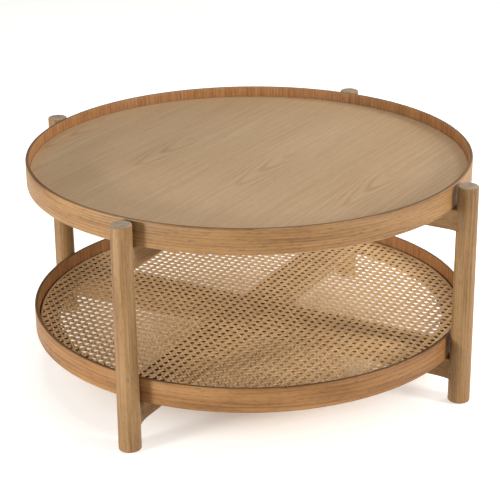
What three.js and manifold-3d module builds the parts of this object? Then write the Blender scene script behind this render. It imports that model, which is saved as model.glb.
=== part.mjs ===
// Round two-tier coffee table: two bentwood trays on crossed rails between four turned legs.
// Millimetres, +Z up. The origin is on the floor under the centre of the table.
import * as THREE from 'three';
import { mergeVertices } from 'three/addons/utils/BufferGeometryUtils.js';
import Module from 'manifold-3d';

const wasm = await Module();
wasm.setup();

// Driving dimensions
const TABLE_HEIGHT = 407;
const SHELF_RIM_TOP = 127;
const FIT = 0.3;

const RIM_RADIUS = 400;
const RIM_WALL = 7;
const RIM_HEIGHT = 44.5;
const RIM_ROUND = 1.6;
const ROUND_SIDES = 96;

const FRAME_WIDTH = 35.5;
const FRAME_DEPTH = 18;
const BATTEN_WIDTH = 55;
const ARC_STEPS = 16;

const PANEL_DEPTH = 7;
const WEBBING_DEPTH = 2.5;
const SPLINE_RADIUS = 388.4;
const SPLINE_WIDTH = 4;
const SPLINE_DEPTH = 6;
const SPLINE_PROUD = 0.9;
const SPLINE_SIDES = 72;

const LEG_CENTRE = 421;
const LEG_TOP = 405.4;
const LEG_TOP_RADIUS = 17.8;
const LEG_FOOT_RADIUS = 19.6;
const LEG_ROUND = 2;
const LEG_SIDES = 24;
const LEG_ANGLES = { front_left: -135, front_right: -45, back_right: 45, back_left: 135 };

const RAIL_HEIGHT = 37.2;
const RAIL_THICKNESS = 24;
const FLARE_LENGTH = 24;
const FLARE_WIDTH = 5.5;
const FLARE_STEPS = 5;

const DOWEL_RADIUS = 4;
const DOWEL_LENGTH = 36;
const DOWEL_OFFSET = 8.5;
const DOWEL_SIDES = 8;

const SCREW_CENTRE = 250;
const SCREW_RADIUS = 2.2;
const SCREW_REACH = 12;
const SCREW_HEAD_RADIUS = 5;
const SCREW_HEAD_DEPTH = 3.2;
const COUNTERBORE_DEPTH = 13;
const SCREW_SIDES = 8;

const GLIDE_RADIUS = 14;
const GLIDE_DEPTH = 2;
const GLIDE_PIN_RADIUS = 2.4;
const GLIDE_PIN_LENGTH = 14;
const GLIDE_SIDES = 16;

// Sizes worked out from the driving ones
const RIM_INNER = RIM_RADIUS - RIM_WALL;
const FRAME_OUTER = RIM_INNER - 0.5;
const FRAME_INNER = FRAME_OUTER - FRAME_WIDTH;
const BATTEN_HALF_LENGTH = Math.sqrt(FRAME_OUTER ** 2 - (BATTEN_WIDTH / 2) ** 2);
const TOP_TRAY_BASE = TABLE_HEIGHT - RIM_HEIGHT;
const SHELF_BASE = SHELF_RIM_TOP - RIM_HEIGHT;
const SPLINE_BASE = FRAME_DEPTH + FIT + WEBBING_DEPTH + SPLINE_PROUD - SPLINE_DEPTH;
const GROOVE_CUT = 2;

const MATERIALS = {
  hoop: new THREE.MeshStandardMaterial({ color: 0xa9784c, roughness: 0.5, metalness: 0 }),
  veneer: new THREE.MeshStandardMaterial({ color: 0xb3946b, roughness: 0.45, metalness: 0 }),
  solid_wood: new THREE.MeshStandardMaterial({ color: 0xa27a4b, roughness: 0.5, metalness: 0 }),
  cane: new THREE.MeshStandardMaterial({ color: 0xcdae82, roughness: 0.55, metalness: 0 }),
  reed: new THREE.MeshStandardMaterial({ color: 0xb08a62, roughness: 0.55, metalness: 0 }),
  dowel: new THREE.MeshStandardMaterial({ color: 0xcdb188, roughness: 0.7, metalness: 0 }),
  steel: new THREE.MeshStandardMaterial({ color: 0x8d8d90, roughness: 0.35, metalness: 1 }),
  glide: new THREE.MeshStandardMaterial({ color: 0x3a2c20, roughness: 0.5, metalness: 0 }),
};

const table = new THREE.Group();

// Solids: a three.js geometry becomes a manifold for a join or a cut, and comes back as a geometry.
function toSolid(geometry) {
  const bare = geometry.clone();
  bare.deleteAttribute('normal');
  bare.deleteAttribute('uv');
  const merged = mergeVertices(bare, 1e-4);
  return new wasm.Manifold(new wasm.Mesh({
    numProp: 3,
    vertProperties: new Float32Array(merged.attributes.position.array),
    triVerts: new Uint32Array(merged.index.array),
  }));
}

function toGeometry(solid) {
  const mesh = solid.getMesh();
  const geometry = new THREE.BufferGeometry();
  geometry.setAttribute('position', new THREE.BufferAttribute(mesh.vertProperties, 3));
  geometry.setIndex(new THREE.BufferAttribute(mesh.triVerts, 1));
  geometry.computeVertexNormals();
  return geometry;
}

function addPiece(parent, name, geometry, material) {
  const piece = new THREE.Mesh(geometry, MATERIALS[material]);
  piece.name = name;
  parent.add(piece);
  return piece;
}

// A ring or a turned piece about +Z from [radius, height] points. Points run up the outside.
function turned(points, sides) {
  const profile = points.map(([radius, height]) => new THREE.Vector2(radius, height));
  return new THREE.LatheGeometry(profile, sides).rotateX(Math.PI / 2);
}

// A closed ring section with chamfered corners.
function ringSection(inner, outer, base, top, chamfer) {
  return [
    [inner, base + chamfer],
    [inner + chamfer, base],
    [outer - chamfer, base],
    [outer, base + chamfer],
    [outer, top - chamfer],
    [outer - chamfer, top],
    [inner + chamfer, top],
    [inner, top - chamfer],
    [inner, base + chamfer],
  ];
}

function plainRing(inner, outer, base, top, sides) {
  return turned([[inner, base], [outer, base], [outer, top], [inner, top], [inner, base]], sides);
}

function disc(radius, base, depth, sides) {
  return turned([[0, base], [radius, base], [radius, base + depth], [0, base + depth]], sides);
}

// A bar lying along X whose outline is drawn in the XZ plane.
function barFromSide(outline, width) {
  const bar = new THREE.ExtrudeGeometry(outline, { depth: width, bevelEnabled: false });
  return bar.rotateX(Math.PI / 2).translate(0, width / 2, 0);
}

// The upper half-lapped bar is notched from below and the lower one from above.
function lappedOutline(halfLength, height, lapWidth, notchOnTop) {
  const half = lapWidth / 2 + FIT;
  const middle = height / 2;
  const outline = new THREE.Shape();
  outline.moveTo(-halfLength, 0);
  if (!notchOnTop) {
    outline.lineTo(-half, 0);
    outline.lineTo(-half, middle + FIT / 2);
    outline.lineTo(half, middle + FIT / 2);
    outline.lineTo(half, 0);
  }
  outline.lineTo(halfLength, 0);
  outline.lineTo(halfLength, height);
  if (notchOnTop) {
    outline.lineTo(half, height);
    outline.lineTo(half, middle - FIT / 2);
    outline.lineTo(-half, middle - FIT / 2);
    outline.lineTo(-half, height);
  }
  outline.lineTo(-halfLength, height);
  outline.closePath();
  return outline;
}

function uprightHole(x, radius, base, top, sides) {
  return toSolid(disc(radius, base, top - base, sides).translate(x, 0, 0));
}

// Trays
function rim() {
  return turned(ringSection(RIM_INNER, RIM_RADIUS, 0, RIM_HEIGHT, RIM_ROUND), ROUND_SIDES);
}

function spline() {
  const half = SPLINE_WIDTH / 2;
  const top = SPLINE_BASE + SPLINE_DEPTH;
  return turned([
    [SPLINE_RADIUS - half, SPLINE_BASE],
    [SPLINE_RADIUS + half, SPLINE_BASE],
    [SPLINE_RADIUS + half, top - 1],
    [SPLINE_RADIUS, top],
    [SPLINE_RADIUS - half, top - 1],
    [SPLINE_RADIUS - half, SPLINE_BASE],
  ], SPLINE_SIDES);
}

function splineGroove() {
  const half = SPLINE_WIDTH / 2 + FIT;
  return toSolid(plainRing(SPLINE_RADIUS - half, SPLINE_RADIUS + half, SPLINE_BASE - FIT,
    FRAME_DEPTH + GROOVE_CUT, SPLINE_SIDES));
}

// A quarter of the ring frame, from one batten's edge round to the next, centred on +X.
function frameArc() {
  const clear = BATTEN_WIDTH / 2 + FIT;
  const outerStart = Math.PI / 4 - Math.asin(clear / FRAME_OUTER);
  const innerStart = Math.PI / 4 - Math.asin(clear / FRAME_INNER);
  const outline = new THREE.Shape();
  outline.absarc(0, 0, FRAME_OUTER, -outerStart, outerStart, false);
  outline.absarc(0, 0, FRAME_INNER, innerStart, -innerStart, true);
  outline.closePath();
  return new THREE.ExtrudeGeometry(outline, {
    depth: FRAME_DEPTH,
    bevelEnabled: false,
    curveSegments: ARC_STEPS,
  });
}

function batten(notchOnTop) {
  const outline = lappedOutline(BATTEN_HALF_LENGTH, FRAME_DEPTH, BATTEN_WIDTH, notchOnTop);
  let solid = toSolid(barFromSide(outline, BATTEN_WIDTH));
  for (const x of [-SCREW_CENTRE, SCREW_CENTRE]) {
    const pilot = SCREW_RADIUS + FIT;
    solid = solid.subtract(uprightHole(x, pilot, -1, SCREW_REACH + FIT, SCREW_SIDES));
  }
  return solid;
}

function addTray(name, base, battenNames) {
  const tray = new THREE.Group();
  tray.position.z = base;
  table.add(tray);
  const isShelf = name === 'shelf';
  addPiece(tray, `${name}_rim`, rim(), 'hoop');
  const groove = splineGroove();
  const cut = (solid) => (isShelf ? solid.subtract(groove) : solid);
  for (let quarter = 0; quarter < 4; quarter += 1) {
    const turn = quarter * Math.PI / 2;
    const arc = toGeometry(cut(toSolid(frameArc().rotateZ(turn))));
    addPiece(tray, `${name}_frame_arc_${quarter + 1}`, arc, 'solid_wood');
  }
  battenNames.forEach((battenName, index) => {
    const turn = Math.PI / 4 + index * Math.PI / 2;
    const geometry = toGeometry(cut(batten(index === 0).rotate([0, 0, turn * 180 / Math.PI])));
    addPiece(tray, battenName, geometry, 'solid_wood');
  });
  return tray;
}

function addTrays() {
  const top = addTray('top', TOP_TRAY_BASE, ['top_batten_a', 'top_batten_b']);
  const panel = disc(FRAME_OUTER, FRAME_DEPTH + FIT, PANEL_DEPTH, ROUND_SIDES);
  addPiece(top, 'top_panel', panel, 'veneer');

  const shelf = addTray('shelf', SHELF_BASE, ['shelf_batten_a', 'shelf_batten_b']);
  const webbingRadius = SPLINE_RADIUS - SPLINE_WIDTH / 2 - FIT;
  const webbing = disc(webbingRadius, FRAME_DEPTH + FIT, WEBBING_DEPTH, SPLINE_SIDES);
  addPiece(shelf, 'shelf_webbing', webbing, 'cane');
  addPiece(shelf, 'webbing_spline', spline(), 'reed');
}

// Legs
function legProfile(extra) {
  return [
    [0, GLIDE_DEPTH - extra],
    [LEG_FOOT_RADIUS - LEG_ROUND + extra, GLIDE_DEPTH - extra],
    [LEG_FOOT_RADIUS + extra, GLIDE_DEPTH + LEG_ROUND],
    [LEG_TOP_RADIUS + extra, LEG_TOP - LEG_ROUND],
    [LEG_TOP_RADIUS - LEG_ROUND + extra, LEG_TOP + extra],
    [0, LEG_TOP + extra],
  ];
}

function legSolid(extra) {
  return toSolid(turned(legProfile(extra), LEG_SIDES).translate(LEG_CENTRE, 0, 0));
}

function railBases() {
  return [SHELF_BASE - FIT - RAIL_HEIGHT, TOP_TRAY_BASE - FIT - RAIL_HEIGHT];
}

function dowelHeights(railBase) {
  const middle = railBase + RAIL_HEIGHT / 2;
  return [middle - DOWEL_OFFSET, middle + DOWEL_OFFSET];
}

// A round bar lying along X, centred on the joint between a leg and a rail at +X.
function dowelBar(radius, length, height) {
  const bar = new THREE.CylinderGeometry(radius, radius, length, DOWEL_SIDES);
  return bar.rotateZ(Math.PI / 2).translate(LEG_CENTRE - LEG_FOOT_RADIUS, 0, height);
}

function addLegs() {
  let blank = legSolid(0);
  for (const base of railBases()) {
    for (const height of dowelHeights(base)) {
      const bore = dowelBar(DOWEL_RADIUS + FIT, DOWEL_LENGTH + 2 * FIT, height);
      blank = blank.subtract(toSolid(bore));
    }
  }
  const pinBore = disc(GLIDE_PIN_RADIUS + FIT, 0, GLIDE_DEPTH + GLIDE_PIN_LENGTH + FIT, SCREW_SIDES);
  blank = blank.subtract(toSolid(pinBore.translate(LEG_CENTRE, 0, 0)));
  for (const [corner, angle] of Object.entries(LEG_ANGLES)) {
    const arm = new THREE.Group();
    arm.rotation.z = THREE.MathUtils.degToRad(angle);
    table.add(arm);
    addPiece(arm, `leg_${corner}`, toGeometry(blank), 'solid_wood');
    const glide = addPiece(arm, `glide_${corner}`, glideGeometry(), 'glide');
    glide.position.x = LEG_CENTRE;
  }
}

// A nail-on glide: a plate under the foot and a pin up into the leg.
function glideGeometry() {
  const plateTop = GLIDE_DEPTH - FIT;
  return turned([
    [0, 0],
    [GLIDE_RADIUS - 1, 0],
    [GLIDE_RADIUS, plateTop / 2],
    [GLIDE_RADIUS, plateTop],
    [GLIDE_PIN_RADIUS, plateTop],
    [GLIDE_PIN_RADIUS, plateTop + GLIDE_PIN_LENGTH - 2],
    [0, plateTop + GLIDE_PIN_LENGTH],
  ], GLIDE_SIDES);
}

// Rails
// Plan of a rail: parallel sides that swell in a hollow curve to meet the legs.
function railPlan() {
  const half = RAIL_THICKNESS / 2;
  const wide = half + FLARE_WIDTH;
  const end = LEG_CENTRE;
  const tip = LEG_CENTRE - LEG_FOOT_RADIUS / 2;
  const start = tip - FLARE_LENGTH;
  const bend = start + FLARE_LENGTH * 0.7;
  const plan = new THREE.Shape();
  plan.moveTo(-start, -half);
  plan.lineTo(start, -half);
  plan.quadraticCurveTo(bend, -half, tip, -wide);
  plan.lineTo(end, -wide);
  plan.lineTo(end, wide);
  plan.lineTo(tip, wide);
  plan.quadraticCurveTo(bend, half, start, half);
  plan.lineTo(-start, half);
  plan.quadraticCurveTo(-bend, half, -tip, wide);
  plan.lineTo(-end, wide);
  plan.lineTo(-end, -wide);
  plan.lineTo(-tip, -wide);
  plan.quadraticCurveTo(-bend, -half, -start, -half);
  return plan;
}

// A rail before its ends are scribed: the swollen plan, half cut away where its partner crosses it.
function railBlank(notchOnTop) {
  const plan = new THREE.ExtrudeGeometry(railPlan(), {
    depth: RAIL_HEIGHT,
    bevelEnabled: false,
    curveSegments: FLARE_STEPS,
  });
  const gap = RAIL_THICKNESS + 2 * FIT;
  const cut = RAIL_HEIGHT / 2 + FIT / 2;
  const notch = new THREE.BoxGeometry(gap, gap, 2 * cut).translate(0, 0, notchOnTop ? RAIL_HEIGHT : 0);
  return toSolid(plan).subtract(toSolid(notch));
}

function railSolid(base, notchOnTop) {
  let rail = railBlank(notchOnTop).translate([0, 0, base]);
  const scribe = legSolid(FIT);
  for (const turn of [0, 180]) {
    rail = rail.subtract(scribe.rotate([0, 0, turn]));
    for (const height of dowelHeights(base)) {
      const bore = toSolid(dowelBar(DOWEL_RADIUS + FIT, DOWEL_LENGTH + 2 * FIT, height));
      rail = rail.subtract(bore.rotate([0, 0, turn]));
    }
  }
  for (const x of [-SCREW_CENTRE, SCREW_CENTRE]) {
    const hole = uprightHole(x, SCREW_RADIUS + FIT, base - 1, base + RAIL_HEIGHT + 1, SCREW_SIDES);
    const sink = uprightHole(x, SCREW_HEAD_RADIUS + FIT, base - 1, base + COUNTERBORE_DEPTH, SCREW_SIDES);
    rail = rail.subtract(hole).subtract(sink);
  }
  return rail;
}

function screwGeometry(base, top) {
  const headTop = base + SCREW_HEAD_DEPTH;
  return turned([
    [0, base],
    [SCREW_HEAD_RADIUS - 1, base],
    [SCREW_HEAD_RADIUS, base + 1],
    [SCREW_HEAD_RADIUS, headTop],
    [SCREW_RADIUS, headTop],
    [SCREW_RADIUS, top - 3],
    [0, top],
  ], SCREW_SIDES);
}

function addRailSet(level, base, trayBase) {
  ['a', 'b'].forEach((letter, index) => {
    const angle = Math.PI / 4 + index * Math.PI / 2;
    const arm = new THREE.Group();
    arm.rotation.z = angle;
    table.add(arm);
    addPiece(arm, `${level}_rail_${letter}`, toGeometry(railSolid(base, index === 0)), 'solid_wood');
    [-1, 1].forEach((side, end) => {
      const headBase = base + COUNTERBORE_DEPTH - FIT - SCREW_HEAD_DEPTH;
      const screw = screwGeometry(headBase, trayBase + SCREW_REACH);
      const place = `${level}_${letter}${end + 1}`;
      addPiece(arm, `screw_${place}`, screw.translate(side * SCREW_CENTRE, 0, 0), 'steel');
      dowelHeights(base).forEach((height, row) => {
        const dowel = dowelBar(DOWEL_RADIUS, DOWEL_LENGTH, height);
        const half = row === 0 ? 'low' : 'high';
        addPiece(arm, `dowel_${place}_${half}`, dowel.rotateZ(end === 0 ? Math.PI : 0), 'dowel');
      });
    });
  });
}

function addRails() {
  const [lowerBase, upperBase] = railBases();
  addRailSet('lower', lowerBase, SHELF_BASE);
  addRailSet('upper', upperBase, TOP_TRAY_BASE);
}

addTrays();
addLegs();
addRails();

export default table;
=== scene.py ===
"""Round two-tier coffee table: bentwood trays, crossed rails, turned legs and a woven cane shelf.

Run as a script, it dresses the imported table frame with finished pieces, sets the studio and the camera.
"""

import math

import bmesh
import bpy
import numpy as np
from mathutils import Matrix, Vector


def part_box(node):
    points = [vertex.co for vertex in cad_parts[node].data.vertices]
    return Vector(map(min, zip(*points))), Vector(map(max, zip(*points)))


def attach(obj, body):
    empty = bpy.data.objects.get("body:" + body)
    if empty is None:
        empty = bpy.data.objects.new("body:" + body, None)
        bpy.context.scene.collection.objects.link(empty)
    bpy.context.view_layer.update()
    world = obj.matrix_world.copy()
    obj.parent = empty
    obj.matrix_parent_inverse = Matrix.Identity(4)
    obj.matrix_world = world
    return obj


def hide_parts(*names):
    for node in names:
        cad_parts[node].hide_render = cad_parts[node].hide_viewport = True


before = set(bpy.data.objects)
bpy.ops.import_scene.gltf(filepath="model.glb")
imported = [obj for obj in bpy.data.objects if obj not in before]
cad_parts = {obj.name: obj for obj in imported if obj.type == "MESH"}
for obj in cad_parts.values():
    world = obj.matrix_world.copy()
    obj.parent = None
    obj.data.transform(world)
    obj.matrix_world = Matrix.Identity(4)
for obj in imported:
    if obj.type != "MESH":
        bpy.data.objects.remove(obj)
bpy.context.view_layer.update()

bl_info = {
    "name": "Round Cane Coffee Table",
    "version": (1, 0, 0),
    "blender": (4, 5, 0),
    "location": "View3D > Sidebar > Coffee Table",
    "description": "Finished pieces for a round coffee table with bentwood trays and a cane shelf",
    "category": "Object",
}

BODY = "root"
MM = 0.001
CORNERS = ("front_left", "front_right", "back_right", "back_left")
RAIL_TURNS = {"a": math.radians(45), "b": math.radians(135)}
TRAYS = ("top", "shelf")
LEVELS = ("upper", "lower")
FIT = 0.3 * MM  # clearance between pieces that meet
LAP_GAP = 0.15 * MM  # half the clearance between the halves of a lapped joint
BITE = 0.1 * MM  # how far a rail's end runs into its leg's face
MERGE = 1e-6

# Colours as red, green and blue in linear light: dark, middle and light tones of each wood
HOOP_TONES = {
    "top": ((0.140, 0.064, 0.020), (0.265, 0.140, 0.051), (0.355, 0.205, 0.086)),
    "shelf": ((0.140, 0.058, 0.016), (0.260, 0.122, 0.039), (0.355, 0.188, 0.068)),
}
LINING_TONES = ((0.178, 0.070, 0.021), (0.345, 0.156, 0.054), (0.465, 0.248, 0.099))
EDGE_TONES = ((0.085, 0.042, 0.017), (0.160, 0.086, 0.038), (0.240, 0.140, 0.066))
VENEER_TONES = ((0.280, 0.170, 0.083), (0.380, 0.252, 0.138), (0.465, 0.334, 0.200))
LEG_TONES = ((0.135, 0.063, 0.020), (0.250, 0.140, 0.054), (0.330, 0.198, 0.086))
RAIL_TONES = ((0.135, 0.060, 0.018), (0.245, 0.128, 0.046), (0.330, 0.190, 0.078))
# The frame's tones are darker than the rails' as painted shade: the frame lies in shadow under the cane.
FRAME_TONES_WITH_PAINTED_SHADE = ((0.082, 0.034, 0.011), (0.155, 0.073, 0.026), (0.228, 0.120, 0.050))
END_TONES = ((0.140, 0.095, 0.060), (0.360, 0.270, 0.185))
CANE_TONES = ((0.580, 0.335, 0.135), (0.940, 0.675, 0.365))
REED_TONES = ((0.260, 0.150, 0.070), (0.460, 0.300, 0.160), (0.600, 0.430, 0.260))


# ---------------------------------------------------------------- sizes from the frame

def node_middle(node):
    """The middle of a CAD node's box."""
    low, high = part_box(node)
    return (low + high) / 2


def rim_radius():
    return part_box("top_rim")[1].x


def frame_radius():
    """The outer radius of the board and the ring frame inside a hoop."""
    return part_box("top_panel")[1].x


def leg_radius():
    """The leg's radius at its foot, its widest place."""
    low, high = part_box("leg_front_left")
    return (high.x - low.x) / 2


def leg_centre_distance():
    return node_middle("leg_front_right").xy.length


# ---------------------------------------------------------------- properties

class TraySizes(bpy.types.PropertyGroup):
    """Sizes of the bent hoops, the veneered board and the frames inside them."""

    wall: bpy.props.FloatProperty(
        name="Hoop thickness", description="Thickness of the bent hoop",
        default=7 * MM, min=2 * MM, max=20 * MM, unit="LENGTH")
    edge_round: bpy.props.FloatProperty(
        name="Hoop edge round", description="Radius of the hoop's softened edges",
        default=1.8 * MM, min=0.2 * MM, max=3 * MM, unit="LENGTH")
    hoop_steps: bpy.props.IntProperty(
        name="Hoop steps", description="Steps round a hoop", default=240, min=32, max=720)
    board_round: bpy.props.FloatProperty(
        name="Board edge round", description="Radius of the board's top edge",
        default=0.6 * MM, min=0.1 * MM, max=2 * MM, unit="LENGTH")
    frame_width: bpy.props.FloatProperty(
        name="Frame width", description="Width of the ring frame's segments",
        default=35.5 * MM, min=10 * MM, max=80 * MM, unit="LENGTH")
    batten_width: bpy.props.FloatProperty(
        name="Batten width", description="Width of the crossed battens",
        default=55 * MM, min=20 * MM, max=90 * MM, unit="LENGTH")
    frame_round: bpy.props.FloatProperty(
        name="Frame edge round", description="Radius of the frame's and battens' edges",
        default=1.2 * MM, min=0.2 * MM, max=3 * MM, unit="LENGTH")
    scarf_turn: bpy.props.FloatProperty(
        name="Scarf joint", description="Where a hoop's ends meet, from +X",
        default=math.radians(-45), subtype="ANGLE")


class LegSizes(bpy.types.PropertyGroup):
    """Sizes of the turned legs and of the crossed rails between them."""

    top_radius: bpy.props.FloatProperty(
        name="Leg top radius", description="Radius of a leg at its top",
        default=17.8 * MM, min=10 * MM, max=30 * MM, unit="LENGTH")
    end_round: bpy.props.FloatProperty(
        name="Leg end round", description="Radius of a leg's rounded ends",
        default=2.6 * MM, min=0.5 * MM, max=8 * MM, unit="LENGTH")
    leg_steps: bpy.props.IntProperty(
        name="Leg steps", description="Steps round a leg", default=56, min=16, max=128)
    rail_thickness: bpy.props.FloatProperty(
        name="Rail thickness", description="Thickness of a rail between its swollen ends",
        default=24 * MM, min=10 * MM, max=40 * MM, unit="LENGTH")
    swell_length: bpy.props.FloatProperty(
        name="Swell length", description="Length over which a rail's end swells to meet its leg",
        default=26 * MM, min=5 * MM, max=60 * MM, unit="LENGTH")
    swell_top: bpy.props.FloatProperty(
        name="Swell at the top", description="How far each side of a rail swells at its top edge",
        default=0.8 * MM, min=0, max=6 * MM, unit="LENGTH")
    swell_bottom: bpy.props.FloatProperty(
        name="Swell at the bottom", description="How far each side of a rail swells at its lower edge",
        default=6.2 * MM, min=0, max=7 * MM, unit="LENGTH")
    rail_round: bpy.props.FloatProperty(
        name="Rail edge round", description="Radius of a rail's long edges",
        default=1.4 * MM, min=0.2 * MM, max=4 * MM, unit="LENGTH")


class CaneSizes(bpy.types.PropertyGroup):
    """Sizes of the woven cane and of the cord that holds its edge."""

    mesh_pitch: bpy.props.FloatProperty(
        name="Mesh", description="Distance from one hole to the next along a rail",
        default=14.9 * MM, min=8 * MM, max=30 * MM, unit="LENGTH")
    strand_width: bpy.props.FloatProperty(
        name="Strand width", description="Width of the paired strands",
        default=2.8 * MM, min=1 * MM, max=6 * MM, unit="LENGTH")
    diagonal_width: bpy.props.FloatProperty(
        name="Diagonal width", description="Width of the single diagonal strands",
        default=3.1 * MM, min=1 * MM, max=6 * MM, unit="LENGTH")
    strand_depth: bpy.props.FloatProperty(
        name="Strand thickness", description="Thickness of a split cane strand",
        default=0.85 * MM, min=0.3 * MM, max=2 * MM, unit="LENGTH")
    pair_offset: bpy.props.FloatProperty(
        name="Pair offset", description="How far each strand of a pair lies from the pair's middle",
        default=1.65 * MM, min=0.8 * MM, max=4 * MM, unit="LENGTH")


class StageSettings(bpy.types.PropertyGroup):
    """The studio's floor, light and camera."""

    floor_colour: bpy.props.FloatVectorProperty(
        name="Floor", description="Colour of the plain floor", subtype="COLOR", size=3,
        default=(0.80, 0.785, 0.76), min=0, max=1)
    # Painted shade: the floor is darkened to this tan under the table, where the table's shadow falls.
    shade_colour: bpy.props.FloatVectorProperty(
        name="Floor in painted shade under the table", description="Colour of the painted shade on the floor under the table",
        subtype="COLOR", size=3, default=(0.66, 0.54, 0.40), min=0, max=1)
    floor_glow: bpy.props.FloatProperty(
        name="Floor glow", description="Light the floor gives off away from the table, to come out white",
        default=0.68, min=0)
    sky_strength: bpy.props.FloatProperty(
        name="Surround", description="Brightness of the white surround", default=0.3, min=0)
    overhead_power: bpy.props.FloatProperty(
        name="Overhead light", description="Power of the large overhead light",
        default=58.0, min=0, unit="POWER")
    left_power: bpy.props.FloatProperty(
        name="Left light", description="Power of the soft box on the left",
        default=56.0, min=0, unit="POWER")
    right_power: bpy.props.FloatProperty(
        name="Right light", description="Power of the soft box on the right",
        default=48.0, min=0, unit="POWER")
    back_power: bpy.props.FloatProperty(
        name="Back light", description="Power of the soft box behind on the right",
        default=20.0, min=0, unit="POWER")
    camera_turn: bpy.props.FloatProperty(
        name="Camera turn", description="Turn of the camera about the table from the front",
        default=math.radians(-16.02), subtype="ANGLE")
    camera_distance: bpy.props.FloatProperty(
        name="Camera distance", description="Level distance from the table's axis to the camera",
        default=2.640, min=0.5, unit="LENGTH")
    camera_height: bpy.props.FloatProperty(
        name="Camera height", description="Height of the camera above the floor",
        default=1.2859, unit="LENGTH")
    aim_height: bpy.props.FloatProperty(
        name="Aim height", description="Height on the table's axis that the camera looks at",
        default=0.2087, unit="LENGTH")
    camera_roll: bpy.props.FloatProperty(
        name="Camera roll", description="Roll of the camera about its own axis",
        default=-0.009, subtype="ANGLE")
    lens: bpy.props.FloatProperty(
        name="Lens", description="Focal length in millimetres on a 36 mm sensor",
        default=110.96, min=20, max=300)


# ---------------------------------------------------------------- making pieces

def mesh_from(bm, name):
    """A mesh made from a bmesh, which is used up."""
    mesh = bpy.data.meshes.new(name)
    bm.to_mesh(mesh)
    bm.free()
    return mesh


def add_object(name, data):
    item = bpy.data.objects.new(name, data)
    bpy.context.scene.collection.objects.link(item)
    return item


def finished_piece(name, bm, materials, nodes=(), sharp_angle=40):
    """Turns a bmesh into a smooth-shaded piece that rides on the table and hides the CAD nodes it takes the
    place of.
    """
    mesh = mesh_from(bm, name)
    for material in materials:
        mesh.materials.append(material)
    mesh.shade_smooth()
    mesh.set_sharp_from_angle(angle=math.radians(sharp_angle))
    piece = add_object(name, mesh)
    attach(piece, BODY)
    if nodes:
        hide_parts(*nodes)
    return piece


def corner_points(mesh):
    """The place of each face corner's vertex, as an array."""
    points = np.zeros(len(mesh.vertices) * 3)
    mesh.vertices.foreach_get("co", points)
    corners = np.zeros(len(mesh.loops), dtype=np.int64)
    mesh.loops.foreach_get("vertex_index", corners)
    return points.reshape(-1, 3)[corners]


def write_grain(mesh, along, across, depth, shift=(0.0, 0.0, 0.0)):
    """Stores the wood's own coordinates: metres along the grain, across it and into the board."""
    grain = np.stack([along, across, depth], axis=1) + np.array(shift)
    layer = mesh.attributes.new("grain", "FLOAT_VECTOR", "CORNER")
    layer.data.foreach_set("vector", grain.astype(np.float32).ravel())


def grain_along_direction(piece, turn, shift):
    """Grain runs level, at an angle from +X."""
    x, y, z = corner_points(piece.data).T
    along = x * math.cos(turn) + y * math.sin(turn)
    across = -x * math.sin(turn) + y * math.cos(turn)
    write_grain(piece.data, along, across, z, shift)


def grain_upright(piece, shift):
    x, y, z = corner_points(piece.data).T
    write_grain(piece.data, z, x, y, shift)


def grain_round(piece, seam_turn, shift):
    """Grain runs round a hoop and starts afresh at its scarf joint."""
    mesh = piece.data
    x, y, z = corner_points(mesh).T
    turn = np.mod(np.arctan2(y, x) - seam_turn, math.tau)
    starts = np.zeros(len(mesh.polygons), dtype=np.int64)
    totals = np.zeros(len(mesh.polygons), dtype=np.int64)
    mesh.polygons.foreach_get("loop_start", starts)
    mesh.polygons.foreach_get("loop_total", totals)
    for start, total in zip(starts, totals):
        face = turn[start:start + total]
        if face.max() - face.min() > math.pi:
            face[face < math.pi] += math.tau
    radius = np.hypot(x, y)
    write_grain(mesh, turn * rim_radius(), z, radius, shift)


def spin_section(bm, steps, angle=math.tau, centre=(0, 0, 0)):
    """Spins everything in a bmesh about an upright axis, closing it if it goes all the way round."""
    bmesh.ops.spin(
        bm, geom=bm.verts[:] + bm.edges[:], cent=centre, axis=(0, 0, 1), dvec=(0, 0, 0),
        angle=angle, steps=steps, use_merge=abs(angle - math.tau) < MERGE, use_normal_flip=False,
        use_duplicate=False)
    bmesh.ops.remove_doubles(bm, verts=bm.verts[:], dist=MERGE)
    bmesh.ops.recalc_face_normals(bm, faces=bm.faces[:])


def outline(bm, points, closed=True):
    """A chain of edges through [x, z] points in the XZ plane."""
    verts = [bm.verts.new((x, 0, z)) for x, z in points]
    edges = [bm.edges.new(pair) for pair in zip(verts, verts[1:])]
    if closed:
        edges.append(bm.edges.new((verts[-1], verts[0])))
    return verts, edges


def slice_across(bm, place, normal, **options):
    """Cuts every face of a bmesh along a plane and returns what lies on the cut."""
    return bmesh.ops.bisect_plane(
        bm, geom=bm.verts[:] + bm.edges[:] + bm.faces[:], plane_co=place, plane_no=normal, dist=1e-7,
        **options)["geom_cut"]


def thicken(bm, face, step):
    """Pulls a flat face into a solid."""
    pulled = bmesh.ops.extrude_face_region(bm, geom=[face], use_keep_orig=True)
    moved = [v for v in pulled["geom"] if isinstance(v, bmesh.types.BMVert)]
    bmesh.ops.translate(bm, verts=moved, vec=step)


def round_edges(bm, edges, radius, segments):
    bmesh.ops.bevel(
        bm, geom=edges, offset=radius, offset_type="OFFSET", segments=segments, profile=0.5,
        affect="EDGES", material=-1)


def round_corners(bm, verts, radius, segments):
    bmesh.ops.bevel(
        bm, geom=verts, offset=radius, offset_type="OFFSET", segments=segments, profile=0.5,
        affect="VERTICES", material=-1)


def material_slots(piece, test, index):
    """Gives the faces whose normal and centre pass a test another material slot."""
    for polygon in piece.data.polygons:
        if test(polygon):
            polygon.material_index = index


def radial_share(polygon):
    """How far a face of a hoop looks outwards: 1 on the outside, -1 on the inside."""
    centre = Vector((polygon.center.x, polygon.center.y, 0)).normalized()
    return centre.dot(polygon.normal)


def is_hoop_inside(polygon):
    return radial_share(polygon) < -0.5


def is_hoop_edge(polygon):
    return abs(radial_share(polygon)) < 0.5


# ---------------------------------------------------------------- hoops, board and frames

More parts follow.
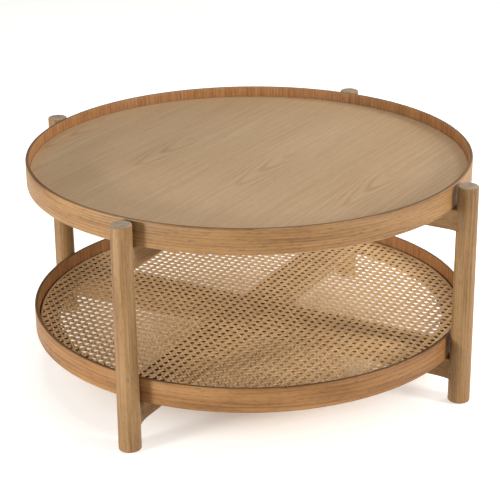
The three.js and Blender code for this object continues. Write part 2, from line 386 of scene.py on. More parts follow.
def make_hoop(name, node, sizes, materials, shift):
    """A bent hoop: a soft-edged strip spun into a ring."""
    low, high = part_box(node)
    outer = high.x
    inner = outer - sizes.wall
    bm = bmesh.new()
    corners = ((inner, low.z), (outer, low.z), (outer, high.z), (inner, high.z))
    verts, _ = outline(bm, corners)
    round_corners(bm, verts, sizes.edge_round, 3)
    spin_section(bm, sizes.hoop_steps)
    piece = finished_piece(name, bm, materials, [node])
    grain_round(piece, sizes.scarf_turn, shift)
    return piece


def make_board(sizes, material):
    """The veneered board: a disc with a softened top edge."""
    low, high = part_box("top_panel")
    bm = bmesh.new()
    made = bmesh.ops.create_circle(
        bm, cap_ends=True, segments=sizes.hoop_steps, radius=high.x,
        matrix=Matrix.Translation((0, 0, low.z)))
    thicken(bm, made["verts"][0].link_faces[0], (0, 0, high.z - low.z))
    bmesh.ops.recalc_face_normals(bm, faces=bm.faces[:])
    rim_edges = [e for e in bm.edges if all(v.co.z > high.z - 1e-5 for v in e.verts)]
    round_edges(bm, rim_edges, sizes.board_round, 2)
    piece = finished_piece("veneered_board", bm, [material], ["top_panel"])
    grain_along_direction(piece, math.radians(43), (0.0, 0.0, 0.0))
    return piece


def make_frame_segment(tray, quarter, sizes, material):
    """A quarter of the ring frame: a spun section, sawn off square to the battens."""
    node = f"{tray}_frame_arc_{quarter + 1}"
    low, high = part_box(node)
    outer = frame_radius()
    inner = outer - sizes.frame_width
    section = [(inner, low.z), (outer, low.z), (outer, high.z), (inner, high.z)]
    bm = bmesh.new()
    verts, _ = outline(bm, section)
    round_corners(bm, verts, sizes.frame_round, 2)
    bmesh.ops.rotate(bm, verts=bm.verts[:], cent=(0, 0, 0), matrix=Matrix.Rotation(-math.pi / 4, 3, "Z"))
    spin_section(bm, 36, math.pi / 2)
    clear = sizes.batten_width / 2 + FIT
    for side in (-1, 1):
        normal = Vector((-1, side, 0)).normalized()
        cut = slice_across(bm, -normal * clear, normal, clear_outer=True)
        edges = [part for part in cut if isinstance(part, bmesh.types.BMEdge)]
        bmesh.ops.edgenet_fill(bm, edges=edges)
    bmesh.ops.rotate(
        bm, verts=bm.verts[:], cent=(0, 0, 0), matrix=Matrix.Rotation(quarter * math.pi / 2, 3, "Z"))
    bmesh.ops.recalc_face_normals(bm, faces=bm.faces[:])
    piece = finished_piece(f"{tray}_frame_segment_{quarter + 1}", bm, [material], [node])
    turn = (quarter + 1) * math.pi / 2
    grain_along_direction(piece, turn, (0.7 * quarter, 0.31, 0.13 * quarter))
    return piece


def lapped_bar(half_length, width, height, lap, notch_on_top):
    """A bar along X with half its height cut away where its partner crosses it."""
    half = lap / 2 + FIT
    middle = height / 2 + (-LAP_GAP if notch_on_top else LAP_GAP)
    ends = [(-half_length, 0), (half_length, 0), (half_length, height), (-half_length, height)]
    if notch_on_top:
        notch = [(half, height), (half, middle), (-half, middle), (-half, height)]
        points = ends[:3] + notch + ends[3:]
    else:
        notch = [(-half, 0), (-half, middle), (half, middle), (half, 0)]
        points = ends[:1] + notch + ends[1:]
    bm = bmesh.new()
    verts, _ = outline(bm, points)
    thicken(bm, bm.faces.new(verts), (0, width, 0))
    bmesh.ops.translate(bm, verts=bm.verts[:], vec=(0, -width / 2, 0))
    bmesh.ops.recalc_face_normals(bm, faces=bm.faces[:])
    return bm


def soften_long_edges(bm, radius, height):
    """Rounds the edges that run along a bar at its top and bottom."""
    def is_long(edge):
        first, second = (v.co for v in edge.verts)
        level = abs(first.z - second.z) < MERGE and abs(first.y - second.y) < MERGE
        return level and (first.z < MERGE or first.z > height - MERGE)
    round_edges(bm, [edge for edge in bm.edges if is_long(edge)], radius, 3)


def make_batten(tray, letter, sizes, material):
    node = f"{tray}_batten_{letter}"
    low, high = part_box(node)
    height = high.z - low.z
    half_length = math.sqrt(frame_radius() ** 2 - (sizes.batten_width / 2) ** 2)
    bm = lapped_bar(half_length, sizes.batten_width, height, sizes.batten_width, letter == "a")
    soften_long_edges(bm, sizes.frame_round, height)
    place = Matrix.Translation((0, 0, low.z)) @ Matrix.Rotation(RAIL_TURNS[letter], 4, "Z")
    bmesh.ops.transform(bm, matrix=place, verts=bm.verts[:])
    piece = finished_piece(f"{tray}_cross_batten_{letter}", bm, [material], [node])
    grain_along_direction(piece, RAIL_TURNS[letter], (0.9, 0.17 + ord(letter) * 0.11, 0.4))
    return piece


# ---------------------------------------------------------------- legs and rails

RAIL_CUTS = 16  # slices that let a rail's end bend
SCREW_SEAT = 3.5 * MM  # from the underside of a screw's head to the counterbore's floor
SHANK_HOLE = 2.5 * MM

def make_leg(corner, sizes, materials):
    """A turned leg: slightly thicker at the foot, with rounded ends and end grain on top."""
    node = f"leg_{corner}"
    low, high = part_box(node)
    middle = node_middle(node)
    bm = bmesh.new()
    profile = ((0, low.z), (leg_radius(), low.z), (sizes.top_radius, high.z), (0, high.z))
    verts, _ = outline(bm, profile, closed=False)
    round_corners(bm, verts[1:3], sizes.end_round, 4)
    spin_section(bm, sizes.leg_steps)
    bmesh.ops.translate(bm, verts=bm.verts[:], vec=(middle.x, middle.y, 0))
    piece = finished_piece(f"turned_leg_{corner}", bm, materials, [node])
    material_slots(piece, lambda face: abs(face.normal.z) > 0.8, 1)
    grain_upright(piece, (0.37 * CORNERS.index(corner), 0.0, 0.0))
    return piece


def leg_radius_at(height, sizes):
    """A leg's radius at a height above the floor."""
    low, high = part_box("leg_front_left")
    share = (height - low.z) / (high.z - low.z)
    return leg_radius() + (sizes.top_radius - leg_radius()) * share


def shape_rail_end(vert, sizes, height, reach, radius):
    """Moves one vertex of a straight rail into the swollen end that meets the leg's round face."""
    half = sizes.rail_thickness / 2
    up = min(max(vert.co.z / height, 0), 1)
    start = reach - radius - sizes.swell_length * (1 - 0.6 * up)
    share = (abs(vert.co.x) - start) / (reach - start)
    if share <= 0:
        return
    bottom = min(sizes.swell_bottom, 0.95 * radius - half)
    swell = 1 + (bottom + (sizes.swell_top - bottom) * up) / half
    contact = reach - math.sqrt(radius ** 2 - (vert.co.y * swell) ** 2)
    vert.co.x = math.copysign(start + share * (contact - start), vert.co.x)
    vert.co.y *= 1 + (swell - 1) * share ** 2.5


def screw_bores(level, letter, low):
    """The stepped holes for a rail's two screws, as closed shapes on a bar along X."""
    bm = bmesh.new()
    for number in (1, 2):
        node = f"screw_{level}_{letter}{number}"
        head_low, head_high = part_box(node)
        radius = (head_high.x - head_low.x) / 2 + FIT
        seat = head_low.z + SCREW_SEAT - low.z
        profile = (
            (0, -MM), (radius, -MM), (radius, seat), (SHANK_HOLE, seat),
            (SHANK_HOLE, head_high.z - low.z), (0, head_high.z - low.z))
        bore = bmesh.new()
        outline(bore, profile, closed=False)
        spin_section(bore, 24)
        along = node_middle(node).xy.length
        bmesh.ops.translate(bore, verts=bore.verts[:], vec=(along if number == 1 else -along, 0, 0))
        mesh = mesh_from(bore, "bore")
        bm.from_mesh(mesh)
        bpy.data.meshes.remove(mesh)
    return bm


def make_rail(level, letter, sizes, material):
    """A crossed rail with a level underside, swollen in a hollow curve where it runs into its legs."""
    node = f"{level}_rail_{letter}"
    low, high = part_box(node)
    height = high.z - low.z
    reach = leg_centre_distance()
    radius = leg_radius_at((low.z + high.z) / 2, sizes) - BITE
    bm = lapped_bar(reach, sizes.rail_thickness, height, sizes.rail_thickness, letter == "a")
    soften_long_edges(bm, sizes.rail_round, height)
    first = reach - radius - sizes.swell_length
    cuts = [first + (reach - first) * step / RAIL_CUTS for step in range(RAIL_CUTS)]
    for along in [side * cut for cut in cuts for side in (-1, 1)]:
        slice_across(bm, (along, 0, 0), (1, 0, 0))
    for share in (-0.75, -0.5, -0.25, 0, 0.25, 0.5, 0.75):
        slice_across(bm, (0, share * sizes.rail_thickness / 2, 0), (0, 1, 0))
    for share in (0.2, 0.4, 0.6, 0.8):
        slice_across(bm, (0, 0, share * height), (0, 0, 1))
    for vert in bm.verts:
        shape_rail_end(vert, sizes, height, reach, radius)
    bmesh.ops.recalc_face_normals(bm, faces=bm.faces[:])
    bm = cut_away(bm, screw_bores(level, letter, low))
    place = Matrix.Translation((0, 0, low.z)) @ Matrix.Rotation(RAIL_TURNS[letter], 4, "Z")
    bmesh.ops.transform(bm, matrix=place, verts=bm.verts[:])
    bmesh.ops.recalc_face_normals(bm, faces=bm.faces[:])
    piece = finished_piece(f"{level}_crossed_rail_{letter}", bm, [material], [node])
    shift = (0.5 if level == "upper" else 1.6, 0.23 * ord(letter), 0.0)
    grain_along_direction(piece, RAIL_TURNS[letter], shift)
    return piece


# ---------------------------------------------------------------- screws and glides

def cut_away(bm, cutter):
    """Cuts a closed bmesh out of another with an exact boolean and returns the new bmesh."""
    holders = [
        add_object(name, mesh_from(source, name)) for name, source in (("cut_body", bm), ("cutter", cutter))]
    boolean = holders[0].modifiers.new("Cut", "BOOLEAN")
    boolean.operation = "DIFFERENCE"
    boolean.solver = "EXACT"
    boolean.object = holders[1]
    graph = bpy.context.evaluated_depsgraph_get()
    result = bmesh.new()
    result.from_object(holders[0], graph)
    for holder in holders:
        mesh = holder.data
        bpy.data.objects.remove(holder)
        bpy.data.meshes.remove(mesh)
    bmesh.ops.remove_doubles(result, verts=result.verts[:], dist=MERGE)
    return result


def make_screw(node, material):
    """A pan-head screw, driven from below, with a cross recess in its head."""
    low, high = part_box(node)
    middle = node_middle(node)
    head = (high.x - low.x) / 2
    shank = 2.2 * MM
    head_top = low.z + 3.2 * MM
    bm = bmesh.new()
    profile = (
        (0, low.z), (head * 0.55, low.z + 0.1 * MM), (head * 0.9, low.z + 0.8 * MM), (head, low.z + 1.8 * MM),
        (head, head_top), (shank, head_top), (shank, high.z - 4 * MM), (0, high.z))
    outline(bm, profile, closed=False)
    spin_section(bm, 24)
    for turn in (0, math.pi / 2):
        place = Matrix.Translation((0, 0, low.z)) @ Matrix.Rotation(turn, 4, "Z")
        blade = bmesh.new()
        bmesh.ops.create_cube(blade, size=1, matrix=place @ Matrix.Diagonal((5 * MM, 1 * MM, 3.4 * MM, 1)))
        bm = cut_away(bm, blade)
    bmesh.ops.translate(bm, verts=bm.verts[:], vec=(middle.x, middle.y, 0))
    return finished_piece(node.replace("screw", "pan_head_screw"), bm, [material], [node], 30)


def make_glide(corner, material):
    """A nail-on glide: a soft-edged plate with its pin up into the foot."""
    node = f"glide_{corner}"
    low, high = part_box(node)
    middle = node_middle(node)
    radius = (high.x - low.x) / 2
    plate = 1.7 * MM
    pin = 2.4 * MM
    bm = bmesh.new()
    profile = (
        (0, low.z), (radius - 1.2 * MM, low.z), (radius, low.z + 0.7 * MM), (radius, low.z + plate),
        (pin, low.z + plate), (pin, high.z - 2 * MM), (0, high.z))
    verts, _ = outline(bm, profile, closed=False)
    round_corners(bm, verts[1:3], 0.4 * MM, 2)
    spin_section(bm, 32)
    bmesh.ops.translate(bm, verts=bm.verts[:], vec=(middle.x, middle.y, 0))
    return finished_piece(f"foot_glide_{corner}", bm, [material], [node])


# ---------------------------------------------------------------- woven cane

CANE_MIDDLE = 1.25 * MM  # height of the weave's middle above the webbing's underside
STATIONS_DIAGONAL = 6
SAG = 1.2 * MM  # how deep the webbing sags in the middle of an open quarter
FRAME_INSIDE = 357 * MM
BATTEN_SIDE = 27.5 * MM
SAG_FROM_FRAME = 120 * MM
SAG_FROM_BATTEN = 80 * MM


def cane_radius():
    """How far the strands run: to just inside the cord that holds their ends."""
    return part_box("shelf_webbing")[1].x + 0.9 * MM


def straight_places(sizes):
    """Where a paired strand is bent within one mesh, in metres from the mesh's start."""
    pitch = sizes.mesh_pitch
    return np.array([-sizes.pair_offset, sizes.pair_offset, 0.36 * pitch, 0.64 * pitch])


def strand_grids(offsets, reach, pitch, places):
    """One narrow grid for each strand: whole steps along X, -1 to 1 across, the strand's number in Z."""
    bm = bmesh.new()
    steps = len(places)
    for number, offset in enumerate(offsets):
        half = math.sqrt(max(reach ** 2 - offset ** 2, 0))
        if half < 2 * pitch:
            continue
        cells = math.ceil(half / pitch) + 1
        station = np.arange(-cells * steps, cells * steps)
        at = pitch * np.floor_divide(station, steps) + places[np.mod(station, steps)]
        inside = station[(at > -half) & (at < half)]
        first, last = inside[0] - 1, inside[-1] + 1
        middle = (first + last) / 2
        place = Matrix.Translation((middle, 0, number)) @ Matrix.Diagonal(((last - first) / 2, 1, 1, 1))
        bmesh.ops.create_grid(bm, x_segments=int(last - first), y_segments=2, size=1, matrix=place)
    return bm


def sag(x, y):
    """How far the webbing hangs below its frame, most in the middle of each open quarter."""
    along = np.abs(x + y) / math.sqrt(2)
    across = np.abs(x - y) / math.sqrt(2)
    edge = np.clip((FRAME_INSIDE - np.hypot(x, y)) / SAG_FROM_FRAME, 0, 1)
    side = np.clip((np.minimum(along, across) - BATTEN_SIDE) / SAG_FROM_BATTEN, 0, 1)
    return SAG * edge * side * (2 - edge) * (2 - side)


def make_strands(name, sizes, offsets, turn, width, pitch, places, height, material, seed):
    """One set of parallel strands, bent over and under the others and domed across."""
    reach = cane_radius()
    bm = strand_grids(offsets, reach, pitch, places)
    mesh = mesh_from(bm, name)
    grid = np.zeros(len(mesh.vertices) * 3)
    mesh.vertices.foreach_get("co", grid)
    station, column, number = np.rint(grid.reshape(-1, 3)).astype(int).T
    offset = np.asarray(offsets)[number]
    half = np.sqrt(reach ** 2 - offset ** 2)
    steps = len(places)
    along = pitch * np.floor_divide(station, steps) + places[np.mod(station, steps)]
    along = np.clip(along, -half, half)
    draws = np.random.default_rng(seed)
    drift = draws.normal(0, 0.12 * MM, len(offsets))[number]
    waver = 0.10 * MM * np.sin(along * 41 + number * 2.3)
    narrow = draws.uniform(0.93, 1.05, len(offsets))[number]
    side = offset + drift + waver + column * width / 2 * narrow
    crown = -0.16 * MM * np.abs(column)
    x = along * math.cos(turn) - side * math.sin(turn)
    y = along * math.sin(turn) + side * math.cos(turn)
    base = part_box("shelf_webbing")[0].z + CANE_MIDDLE
    z = base + height(along, number) + crown + sizes.strand_depth / 2 - sag(x, y)
    mesh.vertices.foreach_set("co", np.stack([x, y, z], axis=1).astype(np.float32).ravel())
    layer = mesh.attributes.new("strand", "FLOAT_VECTOR", "POINT")
    tone = draws.uniform(0, 1, len(offsets))[number]
    values = np.stack([along + 3.7 * number, column.astype(float), tone], axis=1)
    layer.data.foreach_set("vector", values.astype(np.float32).ravel())
    mesh.materials.append(material)
    mesh.shade_smooth()
    piece = add_object(name, mesh)
    thick = piece.modifiers.new("Strand thickness", "SOLIDIFY")
    thick.thickness = sizes.strand_depth
    thick.offset = -1
    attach(piece, BODY)
    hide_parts("shelf_webbing")
    return piece


def make_webbing(sizes, material):
    """Six-way cane: two crossing sets of pairs, woven at each node, and a single strand each way across."""
    pitch = sizes.mesh_pitch
    reach = cane_radius()
    meshes = int(reach / pitch) + 1
    rows = pitch * np.arange(-meshes, meshes + 1)
    rows = rows[np.abs(rows) < reach - 2 * sizes.pair_offset]
    places = straight_places(sizes)
    lift = sizes.strand_depth / 2

    def first_over(along, number):
        near = np.mod(along + pitch / 2, pitch) - pitch / 2
        return np.clip(-near / sizes.pair_offset, -1, 1) * lift * (np.abs(near) < 0.3 * pitch)

    def last_over(along, number):
        return -first_over(along, number)

    pairs = (
        ("cane_pairs_a_near", -1, 0, first_over), ("cane_pairs_a_far", 1, 0, last_over),
        ("cane_pairs_b_near", -1, 90, first_over), ("cane_pairs_b_far", 1, 90, last_over))
    for seed, (name, side, quarter, height) in enumerate(pairs):
        turn = math.radians(45 + quarter)
        make_strands(
            name, sizes, rows + side * sizes.pair_offset, turn, sizes.strand_width, pitch, places, height,
            material, seed)

    gap = pitch / math.sqrt(2)
    wave = pitch * math.sqrt(2)
    lines = gap * (np.arange(-meshes * 2, meshes * 2) + 0.5)
    lines = lines[np.abs(lines) < reach - sizes.diagonal_width]
    stations = wave * np.arange(STATIONS_DIAGONAL) / STATIONS_DIAGONAL
    first = round(lines[0] / gap - 0.5)
    for seed, (name, quarter) in enumerate((("cane_diagonals_left", 45), ("cane_diagonals_right", 135))):
        def height(along, number):
            phase = along / math.sqrt(2) - (first + number + 0.5) * pitch / 2
            return 1.9 * lift * np.cos(math.tau * phase / pitch)
        make_strands(
            name, sizes, lines, math.radians(45 + quarter), sizes.diagonal_width, wave, stations, height,
            material, 10 + seed)


def make_spline(material):
    """The reed cord that holds the webbing's edge."""
    low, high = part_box("webbing_spline")
    outer = high.x
    radius = 2.1 * MM
    bm = bmesh.new()
    made = bmesh.ops.create_circle(
        bm, cap_ends=False, segments=10, radius=radius,
        matrix=(
            Matrix.Translation((outer - 2 * MM, 0, high.z - radius)) @ Matrix.Rotation(math.pi / 2, 4, "X")))
    tail = [v for v in made["verts"] if v.co.z < high.z - radius - 0.5 * MM]
    bmesh.ops.translate(bm, verts=tail, vec=(0, 0, low.z + 0.6 * MM - (high.z - 2 * radius)))
    spin_section(bm, 300)
    piece = finished_piece("webbing_cord", bm, [material], ["webbing_spline"])
    grain_round(piece, math.radians(-52), (0.0, 0.0, 0.0))
    return piece


# ---------------------------------------------------------------- materials

def new_material(name):
    material = bpy.data.materials.new(name)
    material.use_nodes = True
    material.node_tree.nodes.clear()
    return material, material.node_tree.nodes, material.node_tree.links


def frame_up(nodes, groups):
    """Lays the nodes out in labelled frames, one column to a group."""
    for column, (label, members) in enumerate(groups):
        group = nodes.new("NodeFrame")
        group.label = label
        for row, node in enumerate(members):
            node.parent = group
            node.location = (column * 260, -row * 300)


def make_timber(name, tones, rings, streaks, pores, roughness=0.5, drift=0.6, swap_grain=False):
    """Lacquered wood that follows the piece's own grain.

    tones are the dark, middle and light colours. rings are the growth layers' spacing in metres and their
    strength. streaks, pores and drift are the strengths of the long streaks, of the short dark pores and
    of the broad changes of tone.
    swap_grain turns the grain across the piece, as in a cross-grained facing."""
    material, nodes, links = new_material(name)

    grain = nodes.new("ShaderNodeAttribute")
    grain.label = "Grain: along, across, into the wood"
    grain.attribute_name = "grain"
    facing = nodes.new("ShaderNodeMapping")
    facing.label = "Turn of the grain on the piece"
    facing.inputs["Rotation"].default_value = (0, 0, math.radians(90) if swap_grain else 0)
    links.new(grain.outputs["Vector"], facing.inputs["Vector"])

    wander_scale = nodes.new("ShaderNodeMapping")
    wander_scale.label = "Long slow waves"
    wander_scale.inputs["Scale"].default_value = (3.5, 22, 22)
    wander = nodes.new("ShaderNodeTexNoise")
    wander.label = "How the grain wanders"
    wander.inputs["Scale"].default_value = 1.0
    wander.inputs["Detail"].default_value = 2.0
    wander_centre = nodes.new("ShaderNodeVectorMath")
    wander_centre.label = "Wander both ways"
    wander_centre.operation = "SUBTRACT"
    wander_centre.inputs[1].default_value = (0.5, 0.5, 0.5)
    wandered = nodes.new("ShaderNodeVectorMath")
    wandered.label = "Wandering grain"
    wandered.operation = "MULTIPLY_ADD"
    wandered.inputs[1].default_value = (0, 0.009, 0.009)
    links.new(facing.outputs["Vector"], wander_scale.inputs["Vector"])
    links.new(wander_scale.outputs["Vector"], wander.inputs["Vector"])
    links.new(wander.outputs["Color"], wander_centre.inputs[0])
    links.new(wander_centre.outputs["Vector"], wandered.inputs[0])
    links.new(facing.outputs["Vector"], wandered.inputs[2])

    ring_gap, ring_strength = rings
    ring_place = nodes.new("ShaderNodeMapping")
    ring_place.label = "Heart of the tree, off to one side"
    ring_place.inputs["Location"].default_value = (0, 0.061, 0.043)
    ring_place.inputs["Scale"].default_value = (0.012, 1, 1)
    ring_wave = nodes.new("ShaderNodeTexWave")
    ring_wave.label = "Growth layers"
    ring_wave.wave_type = "RINGS"
    ring_wave.rings_direction = "X"
    ring_wave.wave_profile = "SAW"
    ring_wave.inputs["Scale"].default_value = math.pi / 10 / ring_gap
    ring_wave.inputs["Distortion"].default_value = 1.2
    ring_wave.inputs["Detail"].default_value = 2.0
    ring_wave.inputs["Detail Scale"].default_value = 0.6
    ring_tone = nodes.new("ShaderNodeMapRange")
    ring_tone.label = "Late wood is darker"
    ring_tone.inputs["To Min"].default_value = ring_strength / 2
    ring_tone.inputs["To Max"].default_value = -ring_strength / 2
    links.new(wandered.outputs["Vector"], ring_place.inputs["Vector"])
    links.new(ring_place.outputs["Vector"], ring_wave.inputs["Vector"])
    links.new(ring_wave.outputs["Fac"], ring_tone.inputs["Value"])

    streak_scale = nodes.new("ShaderNodeMapping")
    streak_scale.label = "Streaks a few millimetres wide"
    streak_scale.inputs["Scale"].default_value = (5, 260, 260)
    streak = nodes.new("ShaderNodeTexNoise")
    streak.label = "Long streaks"
    streak.inputs["Scale"].default_value = 1.0
    streak.inputs["Detail"].default_value = 5.0
    streak.inputs["Roughness"].default_value = 0.62
    streak_tone = nodes.new("ShaderNodeMapRange")
    streak_tone.label = "Strength of the streaks"
    streak_tone.inputs["From Min"].default_value = 0.3
    streak_tone.inputs["From Max"].default_value = 0.7
    streak_tone.inputs["To Min"].default_value = -streaks / 2
    streak_tone.inputs["To Max"].default_value = streaks / 2
    links.new(wandered.outputs["Vector"], streak_scale.inputs["Vector"])
    links.new(streak_scale.outputs["Vector"], streak.inputs["Vector"])
    links.new(streak.outputs["Fac"], streak_tone.inputs["Value"])

    broad_scale = nodes.new("ShaderNodeMapping")
    broad_scale.label = "Patches a hand wide"
    broad_scale.inputs["Scale"].default_value = (5, 45, 45)
    broad = nodes.new("ShaderNodeTexNoise")
    broad.label = "Broad drift of tone"
    broad.inputs["Scale"].default_value = 1.0
    broad.inputs["Detail"].default_value = 3.0
    broad_tone = nodes.new("ShaderNodeMapRange")
    broad_tone.label = "Strength of the drift"
    broad_tone.inputs["From Min"].default_value = 0.25
    broad_tone.inputs["From Max"].default_value = 0.75
    broad_tone.inputs["To Min"].default_value = 0.5 - drift / 2
    broad_tone.inputs["To Max"].default_value = 0.5 + drift / 2
    links.new(wandered.outputs["Vector"], broad_scale.inputs["Vector"])
    links.new(broad_scale.outputs["Vector"], broad.inputs["Vector"])
    links.new(broad.outputs["Fac"], broad_tone.inputs["Value"])

    with_rings = nodes.new("ShaderNodeMath")
    with_rings.label = "Drift and growth layers"
    with_rings.operation = "ADD"
    with_streaks = nodes.new("ShaderNodeMath")
    with_streaks.label = "And streaks"
    with_streaks.operation = "ADD"
    colour = nodes.new("ShaderNodeValToRGB")
    colour.label = "Wood colours, dark to light"
    colour.color_ramp.elements[0].color = (*tones[0], 1)
    colour.color_ramp.elements[0].position = 0.08
    colour.color_ramp.elements[1].color = (*tones[2], 1)
    colour.color_ramp.elements[1].position = 0.92
    middle = colour.color_ramp.elements.new(0.5)
    middle.color = (*tones[1], 1)
    links.new(broad_tone.outputs["Result"], with_rings.inputs[0])
    links.new(ring_tone.outputs["Result"], with_rings.inputs[1])
    links.new(with_rings.outputs["Value"], with_streaks.inputs[0])
    links.new(streak_tone.outputs["Result"], with_streaks.inputs[1])
    links.new(with_streaks.outputs["Value"], colour.inputs["Fac"])

    pore_scale = nodes.new("ShaderNodeMapping")
    pore_scale.label = "Pores a few millimetres long"
    pore_scale.inputs["Scale"].default_value = (75, 950, 950)
    pore = nodes.new("ShaderNodeTexNoise")
    pore.label = "Pores"
    pore.inputs["Scale"].default_value = 1.0
    pore.inputs["Detail"].default_value = 2.0
    pore_mask = nodes.new("ShaderNodeMapRange")
    pore_mask.label = "Only the deepest show"
    pore_mask.inputs["From Min"].default_value = 0.57
    pore_mask.inputs["From Max"].default_value = 0.70
    pore_mask.inputs["To Max"].default_value = pores
    pored = nodes.new("ShaderNodeMix")
    pored.label = "Dark pores"
    pored.data_type = "RGBA"
    pored.blend_type = "MULTIPLY"
    pored.inputs["B"].default_value = (0.36, 0.26, 0.19, 1)
    links.new(wandered.outputs["Vector"], pore_scale.inputs["Vector"])
    links.new(pore_scale.outputs["Vector"], pore.inputs["Vector"])
    links.new(pore.outputs["Fac"], pore_mask.inputs["Value"])
    links.new(pore_mask.outputs["Result"], pored.inputs["Factor"])
    links.new(colour.outputs["Color"], pored.inputs["A"])

    sheen = nodes.new("ShaderNodeMapRange")
    sheen.label = "Uneven sheen of the lacquer"
    sheen.inputs["To Min"].default_value = roughness + 0.09
    sheen.inputs["To Max"].default_value = roughness - 0.09
    relief = nodes.new("ShaderNodeMath")
    relief.label = "Pores sink below the fibre"
    relief.operation = "SUBTRACT"
    bump = nodes.new("ShaderNodeBump")
    bump.label = "Open grain under the lacquer"
    bump.inputs["Strength"].default_value = 0.35
    bump.inputs["Distance"].default_value = 0.0003
    links.new(streak.outputs["Fac"], sheen.inputs["Value"])
    links.new(streak.outputs["Fac"], relief.inputs[0])
    links.new(pore_mask.outputs["Result"], relief.inputs[1])
    links.new(relief.outputs["Value"], bump.inputs["Height"])

    shader = nodes.new("ShaderNodeBsdfPrincipled")
    shader.label = "Satin lacquered wood"
    shader.inputs["Specular IOR Level"].default_value = 0.25
    output = nodes.new("ShaderNodeOutputMaterial")
    links.new(pored.outputs["Result"], shader.inputs["Base Color"])
    links.new(sheen.outputs["Result"], shader.inputs["Roughness"])
    links.new(bump.outputs["Normal"], shader.inputs["Normal"])
    links.new(shader.outputs["BSDF"], output.inputs["Surface"])
    frame_up(nodes, (
        ("Grain coordinates", (grain, facing)),
        ("Wander", (wander_scale, wander, wander_centre, wandered)),
        ("Growth layers", (ring_place, ring_wave, ring_tone)),
        ("Streaks", (streak_scale, streak, streak_tone)),
        ("Broad tone", (broad_scale, broad, broad_tone)),
        ("Colour", (with_rings, with_streaks, colour)),
        ("Pores", (pore_scale, pore, pore_mask, pored)),
        ("Surface", (sheen, relief, bump)),
        ("Result", (shader, output))))
    return material


